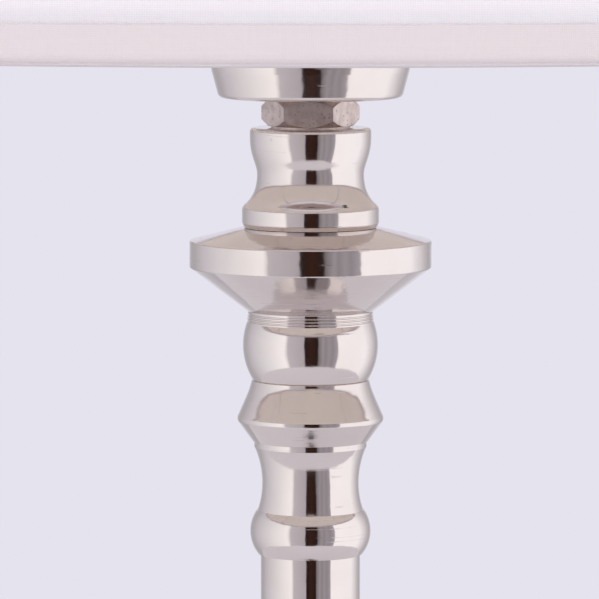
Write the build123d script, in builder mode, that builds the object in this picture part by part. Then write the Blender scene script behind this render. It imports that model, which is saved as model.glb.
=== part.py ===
"""Candlestick table lamp.

A weighted round foot, a column of turned pieces on a hollow threaded rod, a screw-base lampholder with a
push-bar switch, a candle bulb and a tapered fabric shade on a three-armed spider.

Millimetres, +Z up. The origin is on the floor under the middle of the foot. The front faces -Y, and the lead
leaves the foot at the back, +Y. Every piece is built at the place where it stands in the finished lamp.
"""

from build123d import *
from math import acos, ceil, cos, degrees, pi, sqrt
import os

os.makedirs("parts", exist_ok=True)

# ---------------------------------------------------------------- driving dimensions
# Hollow M10 x 1 threaded rod that clamps the whole stack, and the clearance of what slides over it
ROD_R = 5.0
ROD_BORE_R = 3.6
ROD_CLEARANCE = 0.25
ROD_BELOW_NUT = 2.0
ROD_INTO_CAP = 9.5

# Register that centres each turned piece on the next: a short spigot in a shallow recess
REGISTER_R = 8.0
REGISTER_H = 1.5
REGISTER_GAP = 0.1

# Foot: a cast shell, its weight and its felt
FELT_H = 2.0
FOOT_R = 75.0
FOOT_RIM_LIFT = 1.5
FOOT_BAND_TOP = 13.5
FOOT_STEP_R = 47.0
FOOT_STEP_FOOT_Z = 20.0
FOOT_STEP_H = 3.2
FOOT_SHOULDER_R = 44.0
FOOT_SHOULDER_RISE = 1.2
FOOT_BELL_R = 26.0
FOOT_BELL_TOP = 40.0
FOOT_H = 42.0
FOOT_WALL = 2.4
FOOT_EDGE_ROUND = 0.8
FOOT_SEAT_R = 38.0
WEIGHT_GAP = 0.7
WEIGHT_PLATEAU_R = 44.5
WEIGHT_BOSS_R = 21.0
WEIGHT_BOSS_TOP = 30.0
WEIGHT_WEB = 4.0
WEIGHT_RECESS_R = 16.0
FELT_GAP = 1.1

# Lead and the bush it leaves through
LEAD_R = 3.0
LEAD_Z = 7.5
LEAD_BEND_R = 9.5
LEAD_END_GAP = 1.0
LEAD_SLOT_HALF = 4.6
BUSH_BORE_R = 3.15
BUSH_R = 4.15
BUSH_HOLE_GAP = 0.1
BUSH_FLANGE_R = 5.4
BUSH_FLANGE_H = 1.4
BUSH_L = 9.0

# Hexagon nuts and washers on the rod
NUT_FLATS = 17.0
NUT_H = 5.2
NUT_TURN = 57.0
FOOT_WASHER_R = 11.0
FOOT_WASHER_H = 1.5
NUT_WASHER_R = 7.9
NUT_WASHER_H = 0.35

# Column tube
TUBE_R = 10.0
TUBE_L = 230.0

# Half-round collar at each end of the tube
RING_H = 8.9
RING_TUBE_SIDE_R = 10.5
RING_R = 12.1
RING_NECK_SIDE_R = 10.75

# Waisted neck beyond each collar
NECK_H = 13.9
NECK_RING_SIDE_R = 10.6
NECK_WAIST_R = 9.7
NECK_WAIST_UP = 5.4
NECK_LAND_R = 11.3
NECK_LAND_H = 1.1

# Double cone beyond each neck
CONE_H = 12.3
CONE_NECK_SIDE_R = 11.6
CONE_RIM_R = 14.65
CONE_RIM_UP = 4.2
CONE_RIM_H = 0.7
CONE_EDGE_ROUND = 0.33
CONE_BALL_SIDE_R = 11.8
CONE_FLARE_R = 12.45
CONE_FLARE_DOWN = 3.4

# Ball with three fine grooves turned under its top edge
BALL_H = 13.9
BALL_BOTTOM_R = 11.55
BALL_R = 13.55
BALL_WIDEST_UP = 7.15
BALL_BAND_R = 12.75
BALL_BAND_H = 2.3
BALL_TOP_R = 12.5
GROOVE_COUNT = 3
GROOVE_PITCH = 0.62
GROOVE_R = 0.2

# Drip pan
PAN_H = 16.7
PAN_BOTTOM_R = 12.6
PAN_R = 24.2
PAN_RIM_UP = 8.8
PAN_RIM_H = 5.3
PAN_TOP_R = 13.9
PAN_EDGE_ROUND = 0.35

# Candle cup: a stepped collar that flares in to a waist and out to a rounded lip
CUP_H = 20.0
CUP_STEP_BOTTOM_R = 13.3
CUP_STEP_R = 13.75
CUP_STEP_TOP_R = 13.3
CUP_STEP_BEVEL_H = 1.0
CUP_STEP_UP = 4.2
CUP_WAIST_R = 10.7
CUP_WAIST_UP = 10.6
CUP_LIP_R = 12.15
CUP_LIP_DOWN = 2.0
CUP_LIP_ROUND = 1.1

# Lampholder cap: the pressed cup under the shade
CAP_BOSS_R = 8.0
CAP_BOSS_H = 0.35
CAP_FLOOR_R = 17.4
CAP_KNEE_R = 18.55
CAP_KNEE_UP = 0.9
CAP_FLARE_R = 19.75
CAP_FLARE_UP = 5.4
CAP_R = 20.1
CAP_FLARE_END_UP = 9.0
CAP_H = 15.5
CAP_WALL = 1.0
CAP_COLLAR_R = 7.5
CAP_COLLAR_H = 9.0
CAP_LEDGE_R = 15.5
CAP_LEDGE_TOP = 13.0
CAP_LEDGE_H = 1.5
GRUB_R = 1.5
GRUB_L = 4.5
GRUB_UP = 5.0
SCREW_GAP = 0.1
SLOT_W = 0.5
SLOT_DEEP = 0.7

# Ceramic core of the lampholder, its terminals and contacts
CORE_R = 17.4
CORE_H = 14.0
TERMINAL_OUT = 11.0
TERMINAL_R = 2.4
TERMINAL_GAP = 0.1
TERMINAL_H = 11.0
TERMINAL_SCREW_R = 1.3
TERMINAL_SCREW_L = 4.2
TERMINAL_SCREW_UP = 4.0
CONTACT_SLOT_DEEP = 3.0
CONTACT_SLOT_HALF = 3.4
CONTACT_W = 5.0
CONTACT_T = 0.5
CONTACT_RISE = 5.5
WIRE_R = 1.1
WIRE_GAP = 0.1
WIRE_BEND_R = 0.5

# Edison screw: 7 threads to the inch
SCREW_PITCH = 25.4 / 7
THREAD_FLANK = 0.72
THREAD_LAP = 0.4
SHELL_MINOR_R = 12.6
SHELL_GROOVE_R = 13.65
SHELL_GROOVE_HALF = 1.5
SHELL_FLOOR_HALF = 1.0
SHELL_R = 14.4
SHELL_H = 19.5
BULB_ROOT_R = 12.1
BULB_CREST_R = 13.2
BULB_RIDGE_HALF = 1.15
BULB_TOP_HALF = 0.55

# Outer mantle of the lampholder, with its thread for the shade rings
MANTLE_R = 19.6
MANTLE_BORE_R = 17.8
MANTLE_SKIRT_R = 18.9
MANTLE_SKIRT_H = 2.2
MANTLE_TOP_UP = 52.0
MANTLE_MOUTH_R = 14.9
MANTLE_LIP_H = 2.0
MANTLE_THREAD_UP = 30.5
MANTLE_THREAD_PITCH = 2.5
MANTLE_THREAD_TURNS = 7
MANTLE_THREAD_H = 0.45
MANTLE_RIDGE_HALF = 0.8
MANTLE_TOP_HALF = 0.3

# Push-bar switch
BAR_R = 2.0
BAR_RUN_GAP = 0.35
BAR_UP = 19.5
BAR_TRAVEL = 6.0
BAR_STAND_OFF = 1.0
BUTTON_R = 3.6
BUTTON_L = 5.0
BUTTON_ROUND = 1.2
BRIDGE_R = 3.1
BRIDGE_L = 6.0
BRIDGE_GAP = 0.5

# Shade rings on the mantle, and the fitter ring between them
SHADE_RING_R = 28.5
SHADE_RING_GAP = 0.2
SHADE_RING_FLANGE_H = 2.2
SHADE_RING_H = 6.0
SHADE_RING_HUB_R = 23.4
LOWER_RING_UP = 31.0
FITTER_LIFT = 0.1
FITTER_BEYOND_RING = 1.5
FITTER_BORE_R = 20.7
FITTER_H = 1.5
RING_LIFT = 0.3
KNURL_COUNT = 36
KNURL_R = 0.9
KNURL_DEEP = 0.6

# Shade
SHADE_ABOVE_CAP = 15.0
SHADE_H = 240.0
SHADE_BOTTOM_R = 200.0
SHADE_TOP_R = 150.0
SHADE_WALL = 1.0
HEM_H = 8.0
HEM_T = 0.4
HEM_GLUE = 0.1
HEM_LIP_H = 1.6
WIRE_RING_R = 1.5
WIRE_RING_GAP = 0.1
ARM_R = 1.7
ARM_COUNT = 3
ARM_BEND_R = 7.0
ARM_TO_RING = 0.3
ARM_TO_WIRE = 0.1
ARM_ABOVE_LIP = 0.3

# Candle bulb
BULB_CONTACT_GAP = 0.2
BULB_TIP_R = 4.2
BULB_TIP_H = 1.5
BULB_NOSE_H = 3.3
BULB_NOSE_R = 5.2
BULB_CAP_R = 12.1
BULB_CAP_WALL = 0.8
BULB_CAP_H = 19.0
BULB_COLLAR_R = 13.2
BULB_COLLAR_H = 3.0
BULB_THREAD_UP = 2.6
BULB_THREAD_TURNS = 3.25
GLASS_WALL = 0.8
GLASS_NECK_R = 11.1
GLASS_NECK_DEEP = 2.5
GLASS_SHOULDER_R = 12.6
GLASS_R = 17.5
GLASS_WIDEST_UP = 24.0
GLASS_H = 72.0
GLASS_TIP_R = 5.0
STEM_GAP = 0.1
STEM_R = 6.0
STEM_NECK_R = 2.2
STEM_H = 26.0
FILAMENT_COUNT = 4
FILAMENT_R = 0.8
FILAMENT_L = 30.0
FILAMENT_LAP = 1.5
FILAMENT_SPREAD = 4.2

# ---------------------------------------------------------------- levels, worked out from the sizes above
BEAD_BORE_R = ROD_R + ROD_CLEARANCE
GROUP_H = CONE_H + NECK_H + RING_H
TUBE_BOTTOM = FOOT_H + GROUP_H
TUBE_TOP = TUBE_BOTTOM + TUBE_L
NECK_BOTTOM = TUBE_TOP + RING_H
CONE_BOTTOM = NECK_BOTTOM + NECK_H
BALL_BOTTOM = CONE_BOTTOM + CONE_H
PAN_BOTTOM = BALL_BOTTOM + BALL_H
CUP_BOTTOM = PAN_BOTTOM + PAN_H
CUP_TOP = CUP_BOTTOM + CUP_H
NUT_BOTTOM = CUP_TOP + NUT_WASHER_H
CAP_BOTTOM = NUT_BOTTOM + NUT_H + CAP_BOSS_H
MID_TUBE = Plane.XY.offset((TUBE_BOTTOM + TUBE_TOP) / 2)

WEB_BOTTOM = WEIGHT_BOSS_TOP - WEIGHT_WEB
FOOT_NUT_TOP = WEB_BOTTOM - FOOT_WASHER_H
ROD_BOTTOM = FOOT_NUT_TOP - NUT_H - ROD_BELOW_NUT
ROD_TOP = CAP_BOTTOM + ROD_INTO_CAP

CORE_BOTTOM = CAP_BOTTOM + CAP_LEDGE_TOP
CORE_TOP = CORE_BOTTOM + CORE_H
SLOT_FLOOR = CORE_TOP - CONTACT_SLOT_DEEP
CONTACT_TOP = SLOT_FLOOR + CONTACT_RISE
CAP_RIM = CAP_BOTTOM + CAP_H
MANTLE_TOP = CAP_BOTTOM + MANTLE_TOP_UP
BAR_Z = CAP_BOTTOM + BAR_UP
BAR_HOLE_R = BAR_R + BAR_RUN_GAP

LOWER_RING_BOTTOM = CAP_BOTTOM + LOWER_RING_UP
FITTER_BOTTOM = LOWER_RING_BOTTOM + SHADE_RING_H + FITTER_LIFT
UPPER_RING_BOTTOM = FITTER_BOTTOM + FITTER_H + RING_LIFT
SHADE_RING_BORE_R = MANTLE_R + MANTLE_THREAD_H + SHADE_RING_GAP
FITTER_R = SHADE_RING_R + FITTER_BEYOND_RING
SHADE_BOTTOM = CAP_BOTTOM + SHADE_ABOVE_CAP
SHADE_TOP = SHADE_BOTTOM + SHADE_H
SHADE_SLOPE = (SHADE_BOTTOM_R - SHADE_TOP_R) / SHADE_H

BULB_BOTTOM = CONTACT_TOP + BULB_CONTACT_GAP
BULB_NOSE_BOTTOM = BULB_BOTTOM + BULB_TIP_H
BULB_CAP_BOTTOM = BULB_NOSE_BOTTOM + BULB_NOSE_H
BULB_CAP_TOP = BULB_CAP_BOTTOM + BULB_CAP_H
GLASS_TOP = BULB_CAP_TOP + GLASS_H

UP = (Align.CENTER, Align.CENTER, Align.MIN)
DOWN = (Align.CENTER, Align.CENTER, Align.MAX)
OVERRUN = 1.0  # how far a cut runs past the face that it opens


# ---------------------------------------------------------------- shared steps
def write(piece, name):
    """Labels a finished piece and writes it as parts/NAME.step."""
    piece.part.label = name
    export_step(piece.part, f"parts/{name}.step")


def rod_bore(bottom, top):
    """Cuts the clearance bore for the rod from one level to another."""
    with Locations((0, 0, bottom - OVERRUN)):
        Cylinder(BEAD_BORE_R, top - bottom + 2 * OVERRUN, align=UP, mode=Mode.SUBTRACT)


def recess_under(bottom):
    """Cuts the recess that takes the spigot of the piece below."""
    with Locations((0, 0, bottom)):
        Cylinder(REGISTER_R + REGISTER_GAP, REGISTER_H + REGISTER_GAP, align=UP, mode=Mode.SUBTRACT)


def spigot_on(top):
    """Adds the spigot that centres the piece above."""
    with Locations((0, 0, top)):
        Cylinder(REGISTER_R, REGISTER_H, align=UP)


def spigot_under(bottom):
    """Adds a spigot that hangs into the tube below."""
    with Locations((0, 0, bottom)):
        Cylinder(REGISTER_R, REGISTER_H, align=DOWN)


def screw_thread(root_r, crest_r, root_half, crest_half, pitch, start_z, turns, overlap, mode=Mode.ADD):
    """Sweeps a round-crested thread along a helix: a ridge, or a groove where mode subtracts it.

    root_half and crest_half are half the thread's width along the axis, at root_r and where its flanks end.
    The flanks run on past root_r by an overlap, into the wall or the space that they open from.
    """
    helix = Helix(pitch, pitch * turns, root_r, center=(0, 0, start_z), mode=Mode.PRIVATE)
    rise = crest_r - root_r
    shoulder = THREAD_FLANK * rise
    foot_half = root_half + (root_half - crest_half) * overlap / abs(shoulder)
    with BuildSketch(Plane(origin=helix @ 0, x_dir=(1, 0, 0), z_dir=helix % 0)) as section:
        with BuildLine():
            Polyline((shoulder, crest_half), (-overlap, foot_half), (-overlap, -foot_half),
                     (shoulder, -crest_half))
            ThreePointArc((shoulder, -crest_half), (rise, 0), (shoulder, crest_half))
        make_face()
    sweep(section.sketch, path=helix, is_frenet=True, mode=mode)


# ---------------------------------------------------------------- foot
def foot_inner_r(z):
    """Radius of the bell's inner face at a level."""
    middle = FOOT_STEP_FOOT_Z + FOOT_STEP_H + FOOT_SHOULDER_RISE + FOOT_BELL_R
    return FOOT_SHOULDER_R - sqrt((FOOT_BELL_R + FOOT_WALL) ** 2 - (middle - z) ** 2)


SHOULDER_Z = FOOT_STEP_FOOT_Z + FOOT_STEP_H + FOOT_SHOULDER_RISE
BELL_CENTRE_Z = SHOULDER_Z + FOOT_BELL_R
BELL_SWEEP = degrees(acos((BELL_CENTRE_Z - FOOT_BELL_TOP) / FOOT_BELL_R))
FOOT_CEILING = FOOT_H - FOOT_WALL - REGISTER_H
FOOT_SEAT_Z = FOOT_STEP_FOOT_Z - FOOT_WALL
FOOT_CAVITY_R = FOOT_R - FOOT_WALL
SEAT_WALL_TOP = BELL_CENTRE_Z - sqrt((FOOT_BELL_R + FOOT_WALL) ** 2 - (FOOT_SHOULDER_R - FOOT_SEAT_R) ** 2)

with BuildPart() as base_foot:
    with BuildSketch(Plane.XZ):
        with BuildLine():
            rise = Polyline((0, FOOT_RIM_LIFT), (FOOT_R, FOOT_RIM_LIFT), (FOOT_R, FOOT_BAND_TOP),
                            (FOOT_STEP_R, FOOT_STEP_FOOT_Z), (FOOT_STEP_R, FOOT_STEP_FOOT_Z + FOOT_STEP_H),
                            (FOOT_SHOULDER_R, SHOULDER_Z))
            bell = JernArc(rise @ 1, tangent=(-1, 0), radius=FOOT_BELL_R, arc_size=-BELL_SWEEP)
            Polyline(bell @ 1, ((bell @ 1).X, FOOT_H), (0, FOOT_H), (0, FOOT_RIM_LIFT))
        make_face()
    revolve(axis=Axis.Z)
    outer_rims = edges().filter_by(GeomType.CIRCLE).filter_by(
        lambda e: e.radius > FOOT_SHOULDER_R and e.center().Z > FOOT_RIM_LIFT + OVERRUN)
    fillet(outer_rims.group_by(SortBy.RADIUS)[-1], FOOT_EDGE_ROUND)
    with BuildSketch(Plane.XZ):
        with BuildLine():
            inside = Polyline((0, 0), (FOOT_CAVITY_R, 0), (FOOT_CAVITY_R, FOOT_BAND_TOP - FOOT_WALL),
                              (FOOT_STEP_R - FOOT_WALL, FOOT_SEAT_Z), (FOOT_SEAT_R, FOOT_SEAT_Z),
                              (FOOT_SEAT_R, SEAT_WALL_TOP))
            bell_in = ThreePointArc(inside @ 1, (foot_inner_r((SEAT_WALL_TOP + FOOT_CEILING) / 2),
                                                 (SEAT_WALL_TOP + FOOT_CEILING) / 2),
                                    (foot_inner_r(FOOT_CEILING), FOOT_CEILING))
            Polyline(bell_in @ 1, (0, FOOT_CEILING), (0, 0))
        make_face()
    revolve(axis=Axis.Z, mode=Mode.SUBTRACT)
    rod_bore(FOOT_CEILING, FOOT_H)
    with Locations((0, 0, FOOT_H)):
        Cylinder(REGISTER_R + REGISTER_GAP, REGISTER_H + REGISTER_GAP, align=DOWN, mode=Mode.SUBTRACT)
    with Locations(Location((0, FOOT_R + OVERRUN, LEAD_Z), (90, 0, 0))):
        Cylinder(BUSH_R + BUSH_HOLE_GAP, BUSH_L + OVERRUN, align=UP, mode=Mode.SUBTRACT)
write(base_foot, "base_foot")

with BuildPart() as base_weight:
    weight_r = FOOT_CAVITY_R - WEIGHT_GAP
    with BuildSketch(Plane.XZ):
        with BuildLine():
            Polyline((0, FELT_H), (weight_r, FELT_H), (weight_r, FOOT_BAND_TOP - FOOT_WALL - 2 * WEIGHT_GAP),
                     (WEIGHT_PLATEAU_R, FOOT_SEAT_Z - 2 * WEIGHT_GAP), (WEIGHT_PLATEAU_R, FOOT_SEAT_Z),
                     (WEIGHT_BOSS_R, FOOT_SEAT_Z), (WEIGHT_BOSS_R, WEIGHT_BOSS_TOP), (0, WEIGHT_BOSS_TOP),
                     (0, FELT_H))
        make_face()
    revolve(axis=Axis.Z)
    with Locations((0, 0, FELT_H)):
        Cylinder(WEIGHT_RECESS_R, WEB_BOTTOM - FELT_H, align=UP, mode=Mode.SUBTRACT)
    rod_bore(WEB_BOTTOM, WEIGHT_BOSS_TOP)
    with Locations((0, 0, FELT_H)):
        Box(2 * LEAD_SLOT_HALF, FOOT_R, LEAD_Z + LEAD_SLOT_HALF - FELT_H,
            align=(Align.CENTER, Align.MIN, Align.MIN), mode=Mode.SUBTRACT)
write(base_weight, "base_weight")

with BuildPart() as felt_pad:
    Cylinder(FOOT_CAVITY_R - FELT_GAP, FELT_H, align=UP)
write(felt_pad, "felt_pad")

with BuildPart() as cord_bushing:
    with BuildSketch(Plane.XZ.offset(-FOOT_R)):
        with Locations((0, LEAD_Z)):
            Circle(BUSH_FLANGE_R)
    extrude(amount=-BUSH_FLANGE_H)
    fillet(edges().group_by(Axis.Y)[-1], BUSH_FLANGE_H / 2)
    with BuildSketch(Plane.XZ.offset(-FOOT_R)):
        with Locations((0, LEAD_Z)):
            Circle(BUSH_R)
    extrude(amount=BUSH_L - BUSH_FLANGE_H)
    with BuildSketch(Plane.XZ.offset(-FOOT_R - BUSH_FLANGE_H)):
        with Locations((0, LEAD_Z)):
            Circle(BUSH_BORE_R)
    extrude(amount=BUSH_L, mode=Mode.SUBTRACT)
write(cord_bushing, "cord_bushing")


# ---------------------------------------------------------------- rod, nuts and washers
def hexagon_nut(bottom, turn):
    """A double-chamfered hexagon nut on the rod, with its lower face at a level and turned by an angle."""
    corner_r = NUT_FLATS / 2 / cos(pi / 6)
    with BuildPart() as nut:
        with BuildSketch(Plane.XY.offset(bottom)):
            RegularPolygon(radius=corner_r, side_count=6, rotation=turn)
            Circle(BEAD_BORE_R, mode=Mode.SUBTRACT)
        extrude(amount=NUT_H)
        with BuildSketch(Plane.XZ):
            chamfer_rise = corner_r - NUT_FLATS / 2
            with BuildLine():
                Polyline((0, bottom), (NUT_FLATS / 2, bottom), (corner_r, bottom + chamfer_rise),
                         (corner_r, bottom + NUT_H - chamfer_rise), (NUT_FLATS / 2, bottom + NUT_H),
                         (0, bottom + NUT_H), (0, bottom))
            make_face()
        revolve(axis=Axis.Z, mode=Mode.INTERSECT)
    return nut


def washer(bottom, radius, height):
    """A flat washer on the rod."""
    with BuildPart() as ring:
        with BuildSketch(Plane.XY.offset(bottom)):
            Circle(radius)
            Circle(BEAD_BORE_R, mode=Mode.SUBTRACT)
        extrude(amount=height)
    return ring


write(hexagon_nut(FOOT_NUT_TOP - NUT_H, 0), "foot_nut")
write(washer(FOOT_NUT_TOP, FOOT_WASHER_R, FOOT_WASHER_H), "foot_washer")
write(hexagon_nut(NUT_BOTTOM, NUT_TURN), "lock_nut")
write(washer(CUP_TOP, NUT_WASHER_R, NUT_WASHER_H), "nut_washer")

with BuildPart() as through_rod:
    with BuildSketch(Plane.XY.offset(ROD_BOTTOM)):
        Circle(ROD_R)
        Circle(ROD_BORE_R, mode=Mode.SUBTRACT)
    extrude(amount=ROD_TOP - ROD_BOTTOM)
write(through_rod, "through_rod")

# ---------------------------------------------------------------- column
with BuildPart() as column_tube:
    with BuildSketch(Plane.XY.offset(TUBE_BOTTOM)):
        Circle(TUBE_R)
        Circle(REGISTER_R + REGISTER_GAP, mode=Mode.SUBTRACT)
    extrude(amount=TUBE_L)
write(column_tube, "column_tube")

with BuildPart() as upper_ring:
    with BuildSketch(Plane.XZ):
        with BuildLine():
            Polyline((0, NECK_BOTTOM), (0, TUBE_TOP), (RING_TUBE_SIDE_R, TUBE_TOP))
            ThreePointArc((RING_TUBE_SIDE_R, TUBE_TOP), (RING_R, TUBE_TOP + RING_H / 2),
                          (RING_NECK_SIDE_R, NECK_BOTTOM))
            Line((RING_NECK_SIDE_R, NECK_BOTTOM), (0, NECK_BOTTOM))
        make_face()
    revolve(axis=Axis.Z)
    spigot_under(TUBE_TOP)
    spigot_on(NECK_BOTTOM)
    rod_bore(TUBE_TOP - REGISTER_H, NECK_BOTTOM + REGISTER_H)
write(upper_ring, "upper_ring")

with BuildPart() as upper_neck:
    waist_z = NECK_BOTTOM + NECK_WAIST_UP
    land_z = CONE_BOTTOM - NECK_LAND_H
    with BuildSketch(Plane.XZ):
        with BuildLine():
            Polyline((0, CONE_BOTTOM), (0, NECK_BOTTOM), (NECK_RING_SIDE_R, NECK_BOTTOM))
            TangentArc((NECK_WAIST_R, waist_z), (NECK_RING_SIDE_R, NECK_BOTTOM), tangent=(0, -1))
            TangentArc((NECK_WAIST_R, waist_z), (NECK_LAND_R, land_z), tangent=(0, 1))
            Polyline((NECK_LAND_R, land_z), (NECK_LAND_R, CONE_BOTTOM), (0, CONE_BOTTOM))
        make_face()
    revolve(axis=Axis.Z)
    recess_under(NECK_BOTTOM)
    spigot_on(CONE_BOTTOM)
    rod_bore(NECK_BOTTOM, CONE_BOTTOM + REGISTER_H)
write(upper_neck, "upper_neck")

with BuildPart() as upper_cone:
    rim_z = CONE_BOTTOM + CONE_RIM_UP
    with BuildSketch(Plane.XZ):
        with BuildLine():
            Polyline((0, BALL_BOTTOM), (0, CONE_BOTTOM), (CONE_NECK_SIDE_R, CONE_BOTTOM), (CONE_RIM_R, rim_z),
                     (CONE_RIM_R, rim_z + CONE_RIM_H))
            ThreePointArc((CONE_RIM_R, rim_z + CONE_RIM_H), (CONE_FLARE_R, BALL_BOTTOM - CONE_FLARE_DOWN),
                          (CONE_BALL_SIDE_R, BALL_BOTTOM))
            Line((CONE_BALL_SIDE_R, BALL_BOTTOM), (0, BALL_BOTTOM))
        make_face()
    revolve(axis=Axis.Z)
    fillet(edges().filter_by(GeomType.CIRCLE).group_by(SortBy.RADIUS)[-1], CONE_EDGE_ROUND)
    recess_under(CONE_BOTTOM)
    spigot_on(BALL_BOTTOM)
    rod_bore(CONE_BOTTOM, BALL_BOTTOM + REGISTER_H)
write(upper_cone, "upper_double_cone")

# The same three castings stand upside down between the foot and the tube.
for name, casting in (("lower_ring", upper_ring), ("lower_neck", upper_neck),
                      ("lower_double_cone", upper_cone)):
    with BuildPart() as turned_over:
        mirror(casting.part, about=MID_TUBE)
    write(turned_over, name)

with BuildPart() as ball_bead:
    band_z = PAN_BOTTOM - BALL_BAND_H
    with BuildSketch(Plane.XZ):
        with BuildLine():
            Polyline((BALL_BAND_R, band_z), (BALL_TOP_R, PAN_BOTTOM), (0, PAN_BOTTOM), (0, BALL_BOTTOM),
                     (BALL_BOTTOM_R, BALL_BOTTOM))
            ThreePointArc((BALL_BOTTOM_R, BALL_BOTTOM), (BALL_R, BALL_BOTTOM + BALL_WIDEST_UP),
                          (BALL_BAND_R, band_z))
        make_face()
        for n in range(GROOVE_COUNT):
            groove_down = (n + 1) * GROOVE_PITCH
            band_r = BALL_TOP_R + (BALL_BAND_R - BALL_TOP_R) * groove_down / BALL_BAND_H
            with Locations((band_r, PAN_BOTTOM - groove_down)):
                Circle(GROOVE_R, mode=Mode.SUBTRACT)
    revolve(axis=Axis.Z)
    recess_under(BALL_BOTTOM)
    spigot_on(PAN_BOTTOM)
    rod_bore(BALL_BOTTOM, PAN_BOTTOM + REGISTER_H)
write(ball_bead, "ball_bead")

with BuildPart() as drip_pan:
    rim_z = PAN_BOTTOM + PAN_RIM_UP
    with BuildSketch(Plane.XZ):
        with BuildLine():
            Polyline((0, CUP_BOTTOM), (0, PAN_BOTTOM), (PAN_BOTTOM_R, PAN_BOTTOM), (PAN_R, rim_z),
                     (PAN_R, rim_z + PAN_RIM_H), (PAN_TOP_R, CUP_BOTTOM), (0, CUP_BOTTOM))
        make_face()
    revolve(axis=Axis.Z)
    fillet(edges().filter_by(GeomType.CIRCLE).group_by(SortBy.RADIUS)[-1], PAN_EDGE_ROUND)
    recess_under(PAN_BOTTOM)
    spigot_on(CUP_BOTTOM)
    rod_bore(PAN_BOTTOM, CUP_BOTTOM + REGISTER_H)
write(drip_pan, "drip_pan")

with BuildPart() as candle_cup:
    step_z = CUP_BOTTOM + CUP_STEP_UP
    waist_z = CUP_BOTTOM + CUP_WAIST_UP
    lip_z = CUP_TOP - CUP_LIP_DOWN
    with BuildSketch(Plane.XZ):
        with BuildLine():
            Polyline((0, CUP_TOP), (0, CUP_BOTTOM), (CUP_STEP_BOTTOM_R, CUP_BOTTOM),
                     (CUP_STEP_R, CUP_BOTTOM + CUP_STEP_BEVEL_H), (CUP_STEP_TOP_R, step_z))
            TangentArc((CUP_WAIST_R, waist_z), (CUP_STEP_TOP_R, step_z), tangent=(0, -1))
            rise = lip_z - waist_z
            Bezier((CUP_WAIST_R, waist_z), (CUP_WAIST_R, waist_z + rise / 4), (CUP_LIP_R, lip_z - rise / 2),
                   (CUP_LIP_R, lip_z))
            Polyline((CUP_LIP_R, lip_z), (CUP_LIP_R, CUP_TOP), (0, CUP_TOP))
        make_face()
    revolve(axis=Axis.Z)
    fillet(edges().filter_by(GeomType.CIRCLE).group_by(Axis.Z)[-1], CUP_LIP_ROUND)
    recess_under(CUP_BOTTOM)
    rod_bore(CUP_BOTTOM, CUP_TOP)
write(candle_cup, "candle_cup")

# ---------------------------------------------------------------- lampholder
with BuildPart() as holder_cap:
    with BuildSketch(Plane.XZ):
        with BuildLine():
            floor = Line((0, CAP_BOTTOM), (CAP_FLOOR_R, CAP_BOTTOM))
            knee = TangentArc(floor @ 1, (CAP_KNEE_R, CAP_BOTTOM + CAP_KNEE_UP), tangent=(1, 0))
            Line(knee @ 1, (CAP_FLARE_R, CAP_BOTTOM + CAP_FLARE_UP))
            TangentArc((CAP_R, CAP_BOTTOM + CAP_FLARE_END_UP), (CAP_FLARE_R, CAP_BOTTOM + CAP_FLARE_UP),
                       tangent=(0, -1))
            Polyline((CAP_R, CAP_BOTTOM + CAP_FLARE_END_UP), (CAP_R, CAP_RIM), (CAP_R - CAP_WALL, CAP_RIM),
                     (CAP_R - CAP_WALL, CORE_BOTTOM), (CAP_LEDGE_R, CORE_BOTTOM),
                     (CAP_LEDGE_R, CORE_BOTTOM - CAP_LEDGE_H),
                     (CAP_R - CAP_WALL, CORE_BOTTOM - CAP_LEDGE_H - CAP_WALL),
                     (CAP_R - CAP_WALL, CAP_BOTTOM + CAP_FLARE_END_UP),
                     (CAP_FLARE_R - CAP_WALL, CAP_BOTTOM + CAP_FLARE_UP),
                     (CAP_FLOOR_R, CAP_BOTTOM + CAP_WALL), (0, CAP_BOTTOM + CAP_WALL), (0, CAP_BOTTOM))
        make_face()
    revolve(axis=Axis.Z)
    with Locations((0, 0, CAP_BOTTOM - CAP_BOSS_H)):
        Cylinder(CAP_BOSS_R, CAP_BOSS_H + CAP_WALL, align=UP)
    with Locations((0, 0, CAP_BOTTOM)):
        Cylinder(CAP_COLLAR_R, CAP_COLLAR_H, align=UP)
    rod_bore(CAP_BOTTOM - CAP_BOSS_H, CAP_BOTTOM + CAP_COLLAR_H)
    with Locations(Location((0, 0, CAP_BOTTOM + GRUB_UP), (0, 90, 0))):
        Cylinder(GRUB_R + SCREW_GAP, CAP_COLLAR_R + OVERRUN, align=UP, mode=Mode.SUBTRACT)
write(holder_cap, "holder_cap")

with BuildPart() as grub_screw:
    with BuildSketch(Plane.YZ.offset(ROD_R + SCREW_GAP)):
        with Locations((0, CAP_BOTTOM + GRUB_UP)):
            Circle(GRUB_R)
    extrude(amount=GRUB_L)
    with BuildSketch(Plane.YZ.offset(ROD_R + SCREW_GAP + GRUB_L)):
        with Locations((0, CAP_BOTTOM + GRUB_UP)):
            Rectangle(2 * GRUB_R + OVERRUN, SLOT_W)
    extrude(amount=-SLOT_DEEP, mode=Mode.SUBTRACT)
write(grub_screw, "grub_screw")

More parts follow.
